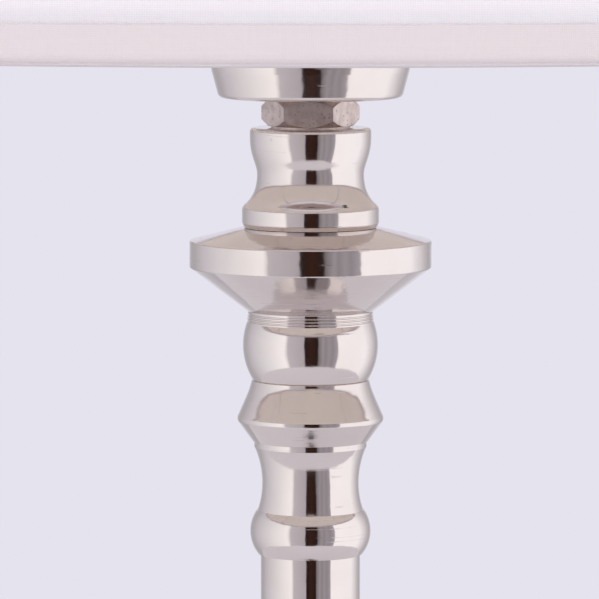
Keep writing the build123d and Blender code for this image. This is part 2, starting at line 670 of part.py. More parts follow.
with BuildPart() as holder_core:
    with Locations((0, 0, CORE_BOTTOM)):
        Cylinder(CORE_R, CORE_H, align=UP)
    with Locations((0, TERMINAL_OUT, CORE_BOTTOM), (0, -TERMINAL_OUT, CORE_BOTTOM)):
        Cylinder(TERMINAL_R + TERMINAL_GAP, TERMINAL_H, align=UP, mode=Mode.SUBTRACT)
    with Locations(Location((0, CORE_R, CORE_BOTTOM + TERMINAL_SCREW_UP), (90, 0, 0)),
                   Location((0, -CORE_R, CORE_BOTTOM + TERMINAL_SCREW_UP), (-90, 0, 0))):
        Cylinder(TERMINAL_SCREW_R + TERMINAL_GAP, CORE_R - TERMINAL_OUT, align=UP, mode=Mode.SUBTRACT)
    with Locations((0, 0, SLOT_FLOOR)):
        Box(2 * CONTACT_SLOT_HALF, TERMINAL_OUT + TERMINAL_R + CONTACT_SLOT_HALF, CONTACT_SLOT_DEEP,
            align=(Align.CENTER, Align.MIN, Align.MIN), mode=Mode.SUBTRACT)
        Cylinder(CONTACT_SLOT_HALF, CONTACT_SLOT_DEEP, align=UP, mode=Mode.SUBTRACT)
    with Locations(Location((-CORE_R - OVERRUN, 0, BAR_Z), (0, 90, 0))):
        Cylinder(BAR_HOLE_R, 2 * (CORE_R + OVERRUN), align=UP, mode=Mode.SUBTRACT)
    with Locations(Location((-BAR_TRAVEL - BRIDGE_L / 2 - BRIDGE_GAP, 0, BAR_Z), (0, 90, 0))):
        Cylinder(BRIDGE_R + BRIDGE_GAP, BAR_TRAVEL + BRIDGE_L + 2 * BRIDGE_GAP, align=UP, mode=Mode.SUBTRACT)
write(holder_core, "holder_core")

with BuildPart() as terminal_posts:
    with Locations((0, TERMINAL_OUT, CORE_BOTTOM), (0, -TERMINAL_OUT, CORE_BOTTOM)):
        Cylinder(TERMINAL_R, TERMINAL_H, align=UP)
    with Locations(Location((0, CORE_R, CORE_BOTTOM + TERMINAL_SCREW_UP), (90, 0, 0)),
                   Location((0, -CORE_R, CORE_BOTTOM + TERMINAL_SCREW_UP), (-90, 0, 0))):
        Cylinder(TERMINAL_SCREW_R + TERMINAL_GAP, CORE_R - TERMINAL_OUT, align=UP, mode=Mode.SUBTRACT)
write(terminal_posts, "terminal_posts")

with BuildPart() as terminal_screws:
    for side in (1, -1):
        with Locations(Location((0, side * (TERMINAL_OUT + TERMINAL_GAP), CORE_BOTTOM + TERMINAL_SCREW_UP),
                                (-90 * side, 0, 0))):
            Cylinder(TERMINAL_SCREW_R, TERMINAL_SCREW_L, align=UP)
    for side in (1, -1):
        with BuildSketch(Plane.XZ.offset(-side * (TERMINAL_OUT + TERMINAL_GAP + TERMINAL_SCREW_L))):
            with Locations((0, CORE_BOTTOM + TERMINAL_SCREW_UP)):
                Rectangle(2 * TERMINAL_SCREW_R + OVERRUN, SLOT_W)
        extrude(amount=side * SLOT_DEEP, mode=Mode.SUBTRACT)
write(terminal_screws, "terminal_screws")

with BuildPart() as centre_contact:
    with BuildSketch(Plane.YZ):
        with BuildLine() as strip:
            low = SLOT_FLOOR + CONTACT_T / 2
            high = CONTACT_TOP - CONTACT_T / 2
            FilletPolyline((TERMINAL_OUT + TERMINAL_R, low), (CONTACT_T, low), (CONTACT_W / 2, high),
                           (-CONTACT_W / 2, high), radius=CONTACT_T)
        trace(line_width=CONTACT_T)
    extrude(amount=CONTACT_W / 2, both=True)
write(centre_contact, "centre_contact")

with BuildPart() as screw_shell:
    # The groove is in step with the ridge on the bulb's cap. It is cut in a longer tube, then trimmed.
    turns_below = ceil((BULB_CAP_BOTTOM + BULB_THREAD_UP - CORE_TOP) / SCREW_PITCH)
    turns_above = ceil((CORE_TOP + SHELL_H - BULB_CAP_BOTTOM - BULB_THREAD_UP) / SCREW_PITCH) + 1
    groove_start = BULB_CAP_BOTTOM + BULB_THREAD_UP - turns_below * SCREW_PITCH
    with BuildSketch(Plane.XY.offset(groove_start - SCREW_PITCH)):
        Circle(SHELL_R)
        Circle(SHELL_MINOR_R, mode=Mode.SUBTRACT)
    extrude(amount=(turns_below + turns_above + 2) * SCREW_PITCH)
    screw_thread(SHELL_MINOR_R, SHELL_GROOVE_R, SHELL_GROOVE_HALF, SHELL_FLOOR_HALF, SCREW_PITCH,
                 groove_start, turns_below + turns_above, THREAD_LAP, mode=Mode.SUBTRACT)
    with BuildSketch(Plane.XY.offset(CORE_TOP)):
        Circle(SHELL_R + OVERRUN)
    extrude(amount=SHELL_H, mode=Mode.INTERSECT)
write(screw_shell, "screw_shell")

with BuildPart() as holder_mantle:
    with BuildSketch(Plane.XZ):
        with BuildLine():
            Polyline((MANTLE_BORE_R, CAP_RIM - MANTLE_SKIRT_H), (MANTLE_SKIRT_R, CAP_RIM - MANTLE_SKIRT_H),
                     (MANTLE_SKIRT_R, CAP_RIM), (MANTLE_R, CAP_RIM), (MANTLE_R, MANTLE_TOP - MANTLE_LIP_H))
            TangentArc((MANTLE_R, MANTLE_TOP - MANTLE_LIP_H), (MANTLE_R - MANTLE_LIP_H, MANTLE_TOP),
                       tangent=(0, 1))
            Polyline((MANTLE_R - MANTLE_LIP_H, MANTLE_TOP), (MANTLE_MOUTH_R, MANTLE_TOP),
                     (MANTLE_MOUTH_R, MANTLE_TOP - MANTLE_LIP_H), (MANTLE_BORE_R, MANTLE_TOP - MANTLE_LIP_H),
                     (MANTLE_BORE_R, CAP_RIM - MANTLE_SKIRT_H))
        make_face()
    revolve(axis=Axis.Z)
    screw_thread(MANTLE_R, MANTLE_R + MANTLE_THREAD_H, MANTLE_RIDGE_HALF, MANTLE_TOP_HALF,
                 MANTLE_THREAD_PITCH, CAP_BOTTOM + MANTLE_THREAD_UP, MANTLE_THREAD_TURNS, THREAD_LAP)
    with Locations(Location((-CAP_R - OVERRUN, 0, BAR_Z), (0, 90, 0))):
        Cylinder(BAR_HOLE_R, 2 * (CAP_R + OVERRUN), align=UP, mode=Mode.SUBTRACT)
write(holder_mantle, "holder_mantle")

# ---------------------------------------------------------------- push-bar switch
LEFT_BUTTON_X = -MANTLE_R - BAR_STAND_OFF
RIGHT_BUTTON_X = MANTLE_R + BAR_STAND_OFF + BAR_TRAVEL

with BuildPart() as switch_bar:
    with Locations(Location((LEFT_BUTTON_X - BUTTON_L / 2, 0, BAR_Z), (0, 90, 0))):
        Cylinder(BAR_R, RIGHT_BUTTON_X - LEFT_BUTTON_X + BUTTON_L, align=UP)
write(switch_bar, "switch_bar")

with BuildPart() as switch_buttons:
    with Locations(Location((RIGHT_BUTTON_X, 0, BAR_Z), (0, 90, 0)),
                   Location((LEFT_BUTTON_X, 0, BAR_Z), (0, -90, 0))):
        Cylinder(BUTTON_R, BUTTON_L, align=UP)
    fillet(edges().group_by(Axis.X)[0] + edges().group_by(Axis.X)[-1], BUTTON_ROUND)
    with Locations(Location((LEFT_BUTTON_X - BUTTON_L / 2, 0, BAR_Z), (0, 90, 0))):
        Cylinder(BAR_R, RIGHT_BUTTON_X - LEFT_BUTTON_X + BUTTON_L, align=UP, mode=Mode.SUBTRACT)
write(switch_buttons, "switch_buttons")

with BuildPart() as switch_bridge:
    with Locations(Location((-BRIDGE_L / 2, 0, BAR_Z), (0, 90, 0))):
        Cylinder(BRIDGE_R, BRIDGE_L, align=UP)
        Cylinder(BAR_R, BRIDGE_L, align=UP, mode=Mode.SUBTRACT)
write(switch_bridge, "switch_bridge")

# ---------------------------------------------------------------- wiring held inside the lamp
LEAD_END_Y = FOOT_R + BUSH_FLANGE_H - BUSH_L - LEAD_END_GAP
LEAD_TOP = ROD_TOP - OVERRUN

with BuildPart() as inner_lead:
    with BuildLine() as lead_path:
        FilletPolyline((0, 0, LEAD_TOP), (0, 0, LEAD_Z), (0, LEAD_END_Y, LEAD_Z), radius=LEAD_BEND_R)
    with BuildSketch(Plane.XY.offset(LEAD_TOP)):
        Circle(LEAD_R)
    sweep(path=lead_path.wires()[0])
write(inner_lead, "inner_lead")

WIRE_START = WIRE_R + WIRE_GAP
with BuildPart() as holder_wires:
    for side in (1, -1):
        with BuildLine() as wire_path:
            wire_out = side * TERMINAL_OUT
            FilletPolyline((0, side * WIRE_START, LEAD_TOP), (0, side * WIRE_START, ROD_TOP + WIRE_R),
                           (0, wire_out, CORE_BOTTOM - WIRE_R), (0, wire_out, CORE_BOTTOM),
                           radius=WIRE_BEND_R)
        with BuildSketch(Plane.XY.offset(LEAD_TOP)):
            with Locations((0, side * WIRE_START)):
                Circle(WIRE_R)
        sweep(path=wire_path.wires()[0])
write(holder_wires, "holder_wires")


# ---------------------------------------------------------------- shade rings
def shade_ring(flange_z, other_z):
    """A threaded ring for the mantle: a knurled flange at one end and a narrower hub at the other."""
    low, high = min(flange_z, other_z), max(flange_z, other_z)
    flange_end = flange_z + SHADE_RING_FLANGE_H * (1 if other_z > flange_z else -1)
    with BuildPart() as ring:
        with BuildSketch(Plane.XZ):
            with BuildLine():
                Polyline((SHADE_RING_BORE_R, flange_z), (SHADE_RING_R, flange_z), (SHADE_RING_R, flange_end),
                         (SHADE_RING_HUB_R, flange_end), (SHADE_RING_HUB_R, other_z),
                         (SHADE_RING_BORE_R, other_z), (SHADE_RING_BORE_R, flange_z))
            make_face()
        revolve(axis=Axis.Z)
        with Locations((0, 0, low)):
            with PolarLocations(SHADE_RING_R + KNURL_R - KNURL_DEEP, KNURL_COUNT):
                Cylinder(KNURL_R, high - low, align=UP, mode=Mode.SUBTRACT)
    return ring


write(shade_ring(LOWER_RING_BOTTOM + SHADE_RING_H, LOWER_RING_BOTTOM), "lower_shade_ring")
write(shade_ring(UPPER_RING_BOTTOM, UPPER_RING_BOTTOM + SHADE_RING_H), "upper_shade_ring")


# ---------------------------------------------------------------- shade
def shade_r(z):
    """Outer radius of the shade's cover at a level."""
    return SHADE_BOTTOM_R - SHADE_SLOPE * (z - SHADE_BOTTOM)


WIRE_INSET = SHADE_WALL + WIRE_RING_GAP + WIRE_RING_R
BOTTOM_WIRE_Z = SHADE_BOTTOM + HEM_T + WIRE_RING_GAP + WIRE_RING_R
TOP_WIRE_Z = SHADE_TOP - HEM_T - WIRE_RING_GAP - WIRE_RING_R
BOTTOM_WIRE_R = shade_r(BOTTOM_WIRE_Z) - WIRE_INSET - WIRE_RING_GAP
TOP_WIRE_R = shade_r(TOP_WIRE_Z) - WIRE_INSET - WIRE_RING_GAP
LIP_OUT = WIRE_RING_R + WIRE_RING_GAP

EDGE_IN = HEM_T + HEM_GLUE
COVER_LOW = SHADE_BOTTOM + EDGE_IN
COVER_HIGH = SHADE_TOP - EDGE_IN
with BuildPart() as shade_cover:
    with BuildSketch(Plane.XZ):
        with BuildLine():
            Polyline((shade_r(COVER_LOW), COVER_LOW), (shade_r(COVER_HIGH), COVER_HIGH),
                     (shade_r(COVER_HIGH) - SHADE_WALL, COVER_HIGH),
                     (shade_r(COVER_LOW) - SHADE_WALL, COVER_LOW), close=True)
        make_face()
    revolve(axis=Axis.Z)
write(shade_cover, "shade_cover")

# A strip of the cover's cloth is glued outside each edge, and turned over the wire ring to a lip inside it.
for name, edge_z, up, wire_r in (("shade_bottom_hem", SHADE_BOTTOM, 1, BOTTOM_WIRE_R),
                                 ("shade_top_hem", SHADE_TOP, -1, TOP_WIRE_R)):
    band_end_z = edge_z + up * HEM_H
    fold_z = edge_z + up * HEM_T
    lip_end_z = edge_z + up * HEM_LIP_H
    lip_r = wire_r - LIP_OUT
    with BuildPart() as hem:
        with BuildSketch(Plane.XZ):
            with BuildLine():
                Polyline((lip_r - HEM_T, edge_z), (shade_r(edge_z) + EDGE_IN, edge_z),
                         (shade_r(band_end_z) + EDGE_IN, band_end_z),
                         (shade_r(band_end_z) + HEM_GLUE, band_end_z),
                         (shade_r(fold_z) + HEM_GLUE, fold_z), (lip_r, fold_z), (lip_r, lip_end_z),
                         (lip_r - HEM_T, lip_end_z), close=True)
            make_face()
        revolve(axis=Axis.Z)
    write(hem, name)

for name, ring_r, ring_z in (("shade_bottom_wire", BOTTOM_WIRE_R, BOTTOM_WIRE_Z),
                             ("shade_top_wire", TOP_WIRE_R, TOP_WIRE_Z)):
    with BuildPart(Plane.XY.offset(ring_z)) as wire_ring:
        Torus(ring_r, WIRE_RING_R)
    write(wire_ring, name)

with BuildPart() as fitter_ring:
    with BuildSketch(Plane.XY.offset(FITTER_BOTTOM)):
        Circle(FITTER_R)
        Circle(FITTER_BORE_R, mode=Mode.SUBTRACT)
    extrude(amount=FITTER_H)
write(fitter_ring, "fitter_ring")

# Each arm leaves the fitter ring level, bends down beside the cover and is welded to the bottom wire.
ARM_Z = FITTER_BOTTOM + FITTER_H / 2
ARM_BEND_OUT = BOTTOM_WIRE_R - WIRE_RING_R - ARM_TO_WIRE - ARM_R
ARM_END_Z = SHADE_BOTTOM + HEM_LIP_H + ARM_ABOVE_LIP
with BuildPart() as shade_arms:
    for n in range(ARM_COUNT):
        out = 90 + 360 / ARM_COUNT * n
        spoke = Plane.XZ.rotated((0, 0, out))
        with BuildLine(spoke) as arm_path:
            FilletPolyline((FITTER_R + ARM_TO_RING, ARM_Z), (ARM_BEND_OUT, ARM_Z), (ARM_BEND_OUT, ARM_END_Z),
                           radius=ARM_BEND_R)
        with BuildSketch(Plane(origin=arm_path.wires()[0] @ 0, z_dir=arm_path.wires()[0] % 0)):
            Circle(ARM_R)
        sweep(path=arm_path.wires()[0])
write(shade_arms, "shade_arms")

# ---------------------------------------------------------------- bulb
with BuildPart() as bulb_tip:
    with BuildSketch(Plane.XZ):
        with BuildLine():
            TangentArc((0, BULB_BOTTOM), (BULB_TIP_R, BULB_NOSE_BOTTOM), tangent=(1, 0))
            Polyline((BULB_TIP_R, BULB_NOSE_BOTTOM), (0, BULB_NOSE_BOTTOM), (0, BULB_BOTTOM))
        make_face()
    revolve(axis=Axis.Z)
write(bulb_tip, "bulb_tip")

with BuildPart() as bulb_nose:
    with BuildSketch(Plane.XZ):
        with BuildLine():
            nose_top_r = BULB_CAP_R - BULB_CAP_WALL
            Polyline((nose_top_r, BULB_CAP_BOTTOM), (0, BULB_CAP_BOTTOM), (0, BULB_NOSE_BOTTOM),
                     (BULB_NOSE_R, BULB_NOSE_BOTTOM))
            TangentArc((BULB_NOSE_R, BULB_NOSE_BOTTOM), (nose_top_r, BULB_CAP_BOTTOM), tangent=(1, 0))
        make_face()
    revolve(axis=Axis.Z)
write(bulb_nose, "bulb_nose")

with BuildPart() as bulb_cap:
    with BuildSketch(Plane.XY.offset(BULB_CAP_BOTTOM)):
        Circle(BULB_CAP_R)
    extrude(amount=BULB_CAP_H)
    with BuildSketch(Plane.XY.offset(BULB_CAP_TOP - BULB_COLLAR_H)):
        Circle(BULB_COLLAR_R)
    extrude(amount=BULB_COLLAR_H)
    fillet(edges().filter_by(GeomType.CIRCLE).group_by(SortBy.RADIUS)[-1], BULB_CAP_WALL / 2)
    screw_thread(BULB_ROOT_R, BULB_CREST_R, BULB_RIDGE_HALF, BULB_TOP_HALF, SCREW_PITCH,
                 BULB_CAP_BOTTOM + BULB_THREAD_UP, BULB_THREAD_TURNS, THREAD_LAP)
    with BuildSketch(Plane.XY.offset(BULB_CAP_BOTTOM)):
        Circle(BULB_CAP_R - BULB_CAP_WALL)
    extrude(amount=BULB_CAP_H, mode=Mode.SUBTRACT)
write(bulb_cap, "bulb_cap")

GLASS_BOTTOM = BULB_CAP_TOP - GLASS_NECK_DEEP
WIDEST_Z = BULB_CAP_TOP + GLASS_WIDEST_UP


def glass_outline(inset):
    """Draws half of the bulb's outline, drawn in by an inset: its neck, its swelling and its rounded tip."""
    neck = Line((GLASS_NECK_R - inset, GLASS_BOTTOM), (GLASS_NECK_R - inset, BULB_CAP_TOP))
    swell = Bezier(neck @ 1, (GLASS_SHOULDER_R - inset, BULB_CAP_TOP + GLASS_WIDEST_UP / 2),
                   (GLASS_R - inset, WIDEST_Z - GLASS_WIDEST_UP / 2), (GLASS_R - inset, WIDEST_Z))
    taper = Bezier(swell @ 1, (GLASS_R - inset, WIDEST_Z + GLASS_WIDEST_UP), (GLASS_TIP_R, GLASS_TOP - inset),
                   (0, GLASS_TOP - inset))
    Polyline(taper @ 1, (0, GLASS_BOTTOM), neck @ 0)


with BuildPart() as bulb_glass:
    for inset, mode in ((0, Mode.ADD), (GLASS_WALL, Mode.SUBTRACT)):
        with BuildSketch(Plane.XZ):
            with BuildLine():
                glass_outline(inset)
            make_face()
        revolve(axis=Axis.Z, mode=mode)
write(bulb_glass, "bulb_glass")

GLASS_BORE_R = GLASS_NECK_R - GLASS_WALL - STEM_GAP
with BuildPart() as bulb_stem:
    stem_z = GLASS_BOTTOM
    with BuildSketch(Plane.XZ):
        with BuildLine():
            Polyline((0, stem_z), (GLASS_BORE_R, stem_z), (GLASS_BORE_R, stem_z + GLASS_WALL),
                     (STEM_R, stem_z + 2 * GLASS_WALL))
            Bezier((STEM_R, stem_z + 2 * GLASS_WALL), (STEM_NECK_R, stem_z + STEM_H / 3),
                   (STEM_NECK_R, stem_z + STEM_H / 2), (STEM_NECK_R, stem_z + STEM_H))
            Polyline((STEM_NECK_R, stem_z + STEM_H), (0, stem_z + STEM_H), (0, stem_z))
        make_face()
    revolve(axis=Axis.Z)
write(bulb_stem, "bulb_stem")

with BuildPart() as bulb_filaments:
    with Locations((0, 0, GLASS_BOTTOM + STEM_H - FILAMENT_LAP)):
        with PolarLocations(STEM_NECK_R + FILAMENT_R + STEM_GAP, FILAMENT_COUNT):
            Cylinder(FILAMENT_R, FILAMENT_L, rotation=(0, FILAMENT_SPREAD, 0), align=UP)
write(bulb_filaments, "bulb_filaments")
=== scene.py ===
from math import cos, pi, radians, sin, sqrt

import bmesh
import bpy
import numpy as np
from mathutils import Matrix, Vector


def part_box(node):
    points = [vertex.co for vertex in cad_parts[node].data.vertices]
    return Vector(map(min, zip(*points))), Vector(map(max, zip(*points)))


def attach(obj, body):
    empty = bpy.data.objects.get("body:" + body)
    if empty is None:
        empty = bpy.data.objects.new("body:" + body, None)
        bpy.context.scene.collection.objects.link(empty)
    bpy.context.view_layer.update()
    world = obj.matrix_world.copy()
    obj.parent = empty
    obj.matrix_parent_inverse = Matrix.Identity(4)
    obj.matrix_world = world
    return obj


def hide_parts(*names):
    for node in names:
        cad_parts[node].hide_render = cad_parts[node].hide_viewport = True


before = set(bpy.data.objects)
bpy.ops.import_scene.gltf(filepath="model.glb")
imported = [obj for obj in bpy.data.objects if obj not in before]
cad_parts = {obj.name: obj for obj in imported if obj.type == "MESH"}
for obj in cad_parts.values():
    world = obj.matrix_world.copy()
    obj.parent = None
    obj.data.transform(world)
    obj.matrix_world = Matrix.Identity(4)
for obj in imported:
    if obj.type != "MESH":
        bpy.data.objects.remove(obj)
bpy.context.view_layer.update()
scene = bpy.context.scene
mm = 0.001

# ------------------------------------------------------------------ camera
# A long lens just under a metre off, a little above the shade's edge and looking slightly down. It takes in
# only the bottom edge of the shade and the turned pieces below it, at five pixels to the millimetre.
look_at = Vector((-2.2 * mm, 0, 358.3 * mm))
camera_far = 0.95
camera_rise = radians(5.44)
pixels_wide = 599
pixel = 0.2 * mm
view_wide = pixels_wide * pixel

camera_data = bpy.data.cameras.new("camera")
camera_data.sensor_width = 36
camera_data.lens = 36 * camera_far / view_wide
camera_data.clip_start = 0.1
camera_data.clip_end = 60
camera = bpy.data.objects.new("camera", camera_data)
camera.location = look_at + camera_far * Vector((0, -cos(camera_rise), sin(camera_rise)))
camera.rotation_euler = (pi / 2 - camera_rise, 0, 0)
scene.collection.objects.link(camera)
scene.camera = camera
scene.view_settings.view_transform = "Standard"


# ------------------------------------------------------------------ felt under the foot
# A dark disc of pressed wool felt, cut a little smaller than the foot and glued under the cast weight. Its
# cut edge is soft, and both faces are slightly uneven.
def node(tree, kind, inputs=None, **settings):
    """A new shader node. Each entry of inputs sets its socket, or is linked to it if it is one itself."""
    made = tree.nodes.new("ShaderNode" + kind)
    for key, value in settings.items():
        setattr(made, key, value)
    for key, value in (inputs or {}).items():
        if isinstance(value, bpy.types.NodeSocket):
            tree.links.new(value, made.inputs[key])
        else:
            made.inputs[key].default_value = value
    return made


def maths(tree, what, a, b=0.0, c=0.0):
    """The value of a, b and c under one operation of the Math node."""
    return node(tree, "Math", {0: a, 1: b, 2: c}, operation=what).outputs[0]


def mixed(tree, share, a, b):
    """The colour a, giving way to b as share goes from 0 to 1."""
    return node(tree, "Mix", {0: share, 6: a, 7: b}, data_type="RGBA").outputs[2]


def spread(tree, value, low, high, to_low=0.0, to_high=1.0):
    """The value laid out from low..high on to to_low..to_high, held at both ends."""
    return node(tree, "MapRange", {0: value, 1: low, 2: high, 3: to_low, 4: to_high}).outputs[0]


def grain(tree, where, scale, detail=2.0, rough=0.5):
    """Cloudy noise from 0 to 1, whose lumps are 1 / scale metres across."""
    return node(tree, "TexNoise", {"Vector": where, "Scale": scale, "Detail": detail,
                                   "Roughness": rough}).outputs[0]


def plain_material(name, **sockets):
    """A material of one Principled shader, with constants on its sockets: (material, tree, shader)."""
    material = bpy.data.materials.new(name)
    material.use_nodes = True
    shader = material.node_tree.nodes["Principled BSDF"]
    for key, value in sockets.items():
        shader.inputs[key.replace("_", " ")].default_value = value
    return material, material.node_tree, shader


def bumped(tree, shader, height, deep):
    """The shader's normal follows a height from 0 to 1, which stands for a relief of that depth in metres."""
    bump = node(tree, "Bump", {"Height": height, "Distance": deep, "Strength": 1.0})
    tree.links.new(bump.outputs[0], shader.inputs["Normal"])


def skin(name, points, loop_rows=False, u=None, v=None):
    """A surface through a grid of points (row, column), whose columns close round the axis. The rows run up
    the outside, so that the faces look outwards; with loop_rows the last row joins the first. Rows on the
    axis shrink to one point. u of each column and v of each row are the cloth's own places, in metres."""
    rows, columns = points.shape[:2]
    i = np.arange(rows if loop_rows else rows - 1)[:, None] + np.zeros((1, columns), int)
    j = np.arange(columns)[None, :] + np.zeros_like(i)
    i_next = (i + 1) % rows
    j_next = (j + 1) % columns
    faces = np.stack([i * columns + j, i * columns + j_next,
                      i_next * columns + j_next, i_next * columns + j], -1)
    mesh = bpy.data.meshes.new(name)
    mesh.from_pydata(points.reshape(-1, 3).tolist(), [], faces.reshape(-1, 4).tolist())
    if u is not None:
        corners = np.stack([np.stack([u[j], v[i]], -1), np.stack([u[j + 1], v[i]], -1),
                            np.stack([u[j + 1], v[i + 1]], -1), np.stack([u[j], v[i + 1]], -1)], 2)
        mesh.uv_layers.new(name="UVMap").data.foreach_set("uv", corners.ravel())
    melt = bmesh.new()
    melt.from_mesh(mesh)
    bmesh.ops.remove_doubles(melt, verts=melt.verts, dist=1e-7)
    melt.to_mesh(mesh)
    melt.free()
    mesh.polygons.foreach_set("use_smooth", np.ones(len(mesh.polygons), bool))
    made = bpy.data.objects.new(name, mesh)
    scene.collection.objects.link(made)
    return made


def turned(outline, a):
    """A row of (r, z) points carried round the axis: (r cos a, r sin a, z) for each angle a."""
    r = np.asarray(outline)[:, :1]
    z = np.asarray(outline)[:, 1:]
    return np.stack([r * np.cos(a), r * np.sin(a), z + 0 * a], -1)


def pushed_out(points, a, out):
    """Moves each point of the grid away from the axis by out, along its column's angle a."""
    points[..., 0] += out * np.cos(a)
    points[..., 1] += out * np.sin(a)


felt_r = 71.4 * mm
felt_thick = 2.0 * mm
felt_edge = 0.7 * mm
felt_clear = 0.04 * mm
# Half an ellipse for the cut edge, between two faces that run in to the axis.
edge = np.linspace(-pi / 2, pi / 2, 13)
edge_r = felt_r - felt_edge + felt_edge * np.cos(edge)
edge_z = felt_thick / 2 + (felt_thick / 2 - felt_clear) * np.sin(edge)
inward = np.linspace(0, 1, 24)
felt_outline = np.concatenate([
    np.column_stack([inward[:-1] * edge_r[0], np.full(23, edge_z[0])]),
    np.column_stack([edge_r, edge_z]),
    np.column_stack([(1 - inward[1:]) * edge_r[-1], np.full(23, edge_z[-1])])])
turn = np.arange(200) * 2 * pi / 200
felt_points = turned(felt_outline, turn)
ruffle = 0.25 * mm * (np.sin(31 * turn) * np.sin(17 * turn + 1) + 0.5 * np.sin(57 * turn))
near_edge = np.clip((felt_outline[:, 0] / felt_r - 0.94) / 0.06, 0, 1)[:, None]
pushed_out(felt_points, turn, ruffle * near_edge)
felt = skin("felt_disc", felt_points)

felt_wool, tree, shader = plain_material("felt_wool", Roughness=0.95, Sheen_Weight=0.6, Sheen_Roughness=0.5)
spot = node(tree, "TexCoord").outputs["Object"]
laid = node(tree, "Mapping", {"Vector": spot, "Scale": (1.0, 3.2, 1.0), "Rotation": (0, 0, 0.7)}).outputs[0]
fibres = grain(tree, laid, 900, 4, 0.7)
fuzz = grain(tree, spot, 2600, 2, 0.7)
paler = spread(tree, maths(tree, "ADD", fibres, maths(tree, "MULTIPLY", fuzz, 0.5)), 0.5, 1.0)
wool = mixed(tree, paler, (0.008, 0.011, 0.009, 1), (0.030, 0.036, 0.031, 1))
tree.links.new(wool, shader.inputs["Base Color"])
bumped(tree, shader, maths(tree, "ADD", fibres, fuzz), 0.25 * mm)
felt.data.materials.append(felt_wool)
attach(felt, "stand")
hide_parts("felt_pad")


# ------------------------------------------------------------------ cast weight, nuts, washers and rod
# A cast iron weight painted black fills the foot; the threaded steel rod, the two hexagon nuts and their
# washers draw the whole column together. The steel is left unpolished, dull and speckled.
def effect(name, takes):
    """An empty node group with its named inputs, which puts out a finish's colour, roughness and height:
    (tree, its input node, its output node)."""
    tree = bpy.data.node_groups.new(name, "ShaderNodeTree")
    for socket, (kind, start) in takes.items():
        made = tree.interface.new_socket(name=socket, in_out="INPUT", socket_type="NodeSocket" + kind)
        made.default_value = start
    for socket, kind in (("Colour", "Color"), ("Roughness", "Float"), ("Height", "Float")):
        tree.interface.new_socket(name=socket, in_out="OUTPUT", socket_type="NodeSocket" + kind)
    return tree, tree.nodes.new("NodeGroupInput"), tree.nodes.new("NodeGroupOutput")


def gives(tree, output_node, colour, roughness, height):
    """Links the three things that a finish's group puts out."""
    tree.links.new(colour, output_node.inputs["Colour"])
    tree.links.new(roughness, output_node.inputs["Roughness"])
    tree.links.new(height, output_node.inputs["Height"])


def finished(tree, shader, group, values, relief):
    """One use of a finish's group in a material, with the material's own values, and a relief in metres."""
    finish = tree.nodes.new("ShaderNodeGroup")
    finish.node_tree = group
    for key, value in values.items():
        finish.inputs[key].default_value = value
    tree.links.new(finish.outputs["Colour"], shader.inputs["Base Color"])
    tree.links.new(finish.outputs["Roughness"], shader.inputs["Roughness"])
    bumped(tree, shader, finish.outputs["Height"], relief)


face, face_in, face_out = effect("worked_face", {
    "Plain": ("Color", (0.5, 0.5, 0.5, 1)), "Stained": ("Color", (0.3, 0.3, 0.3, 1)),
    "Lumps": ("Float", 300.0), "Speckles": ("Float", 0.5), "Dullness": ("Float", 0.4),
    "Streaks": ("Float", 0.0)})
spot = node(face, "TexCoord").outputs["Object"]
lumps = face_in.outputs["Lumps"]
clouds = grain(face, spot, lumps, 4, 0.6)
fine = grain(face, spot, maths(face, "MULTIPLY", lumps, 8.0), 2, 0.6)
drawn_out = node(face, "VectorMath", {0: spot, 1: (1.0, 1.0, 0.07)}, operation="MULTIPLY").outputs[0]
streaks = grain(face, drawn_out, maths(face, "MULTIPLY", lumps, 6.0), 2)
streaks = maths(face, "MULTIPLY", streaks, face_in.outputs["Streaks"])
# Pits are the middles of a few of the cells of a Voronoi pattern, chosen by the cells' own colours.
pit_cells = node(face, "TexVoronoi", {"Vector": spot, "Scale": maths(face, "MULTIPLY", lumps, 2.6)})
pit_lot = node(face, "SeparateColor", {0: pit_cells.outputs["Color"]}).outputs[0]
pits = spread(face, pit_cells.outputs["Distance"], 0.12, 0.34, 1, 0)
pits = maths(face, "MULTIPLY", pits, spread(face, pit_lot, 0.62, 0.7))
pits = maths(face, "MULTIPLY", pits, face_in.outputs["Speckles"])
stain = maths(face, "MULTIPLY", spread(face, clouds, 0.35, 0.72), 0.6)
stain = maths(face, "ADD", stain, maths(face, "ADD", pits, maths(face, "MULTIPLY", streaks, 0.4)))
stain = spread(face, stain, 0, 1)
colour = mixed(face, stain, face_in.outputs["Plain"], face_in.outputs["Stained"])
duller = maths(face, "ADD", maths(face, "MULTIPLY", fine, 0.12), maths(face, "MULTIPLY", pits, 0.12))
rough = maths(face, "ADD", face_in.outputs["Dullness"], duller)
raised = maths(face, "ADD", maths(face, "ADD", clouds, streaks), maths(face, "MULTIPLY", fine, 0.5))
height = maths(face, "SUBTRACT", raised, maths(face, "MULTIPLY", pits, 0.6))
gives(face, face_out, colour, rough, height)


def worked(name, relief, values, **sockets):
    """A material on the worked_face group: relief in metres, the group's values, the shader's constants."""
    material, tree, shader = plain_material(name, **sockets)
    finished(tree, shader, face, values, relief)
    return material


def dressed(material, *names):
    """The CAD nodes of these names take this material."""
    for name in names:
        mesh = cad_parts[name].data
        mesh.materials.clear()
        mesh.materials.append(material)


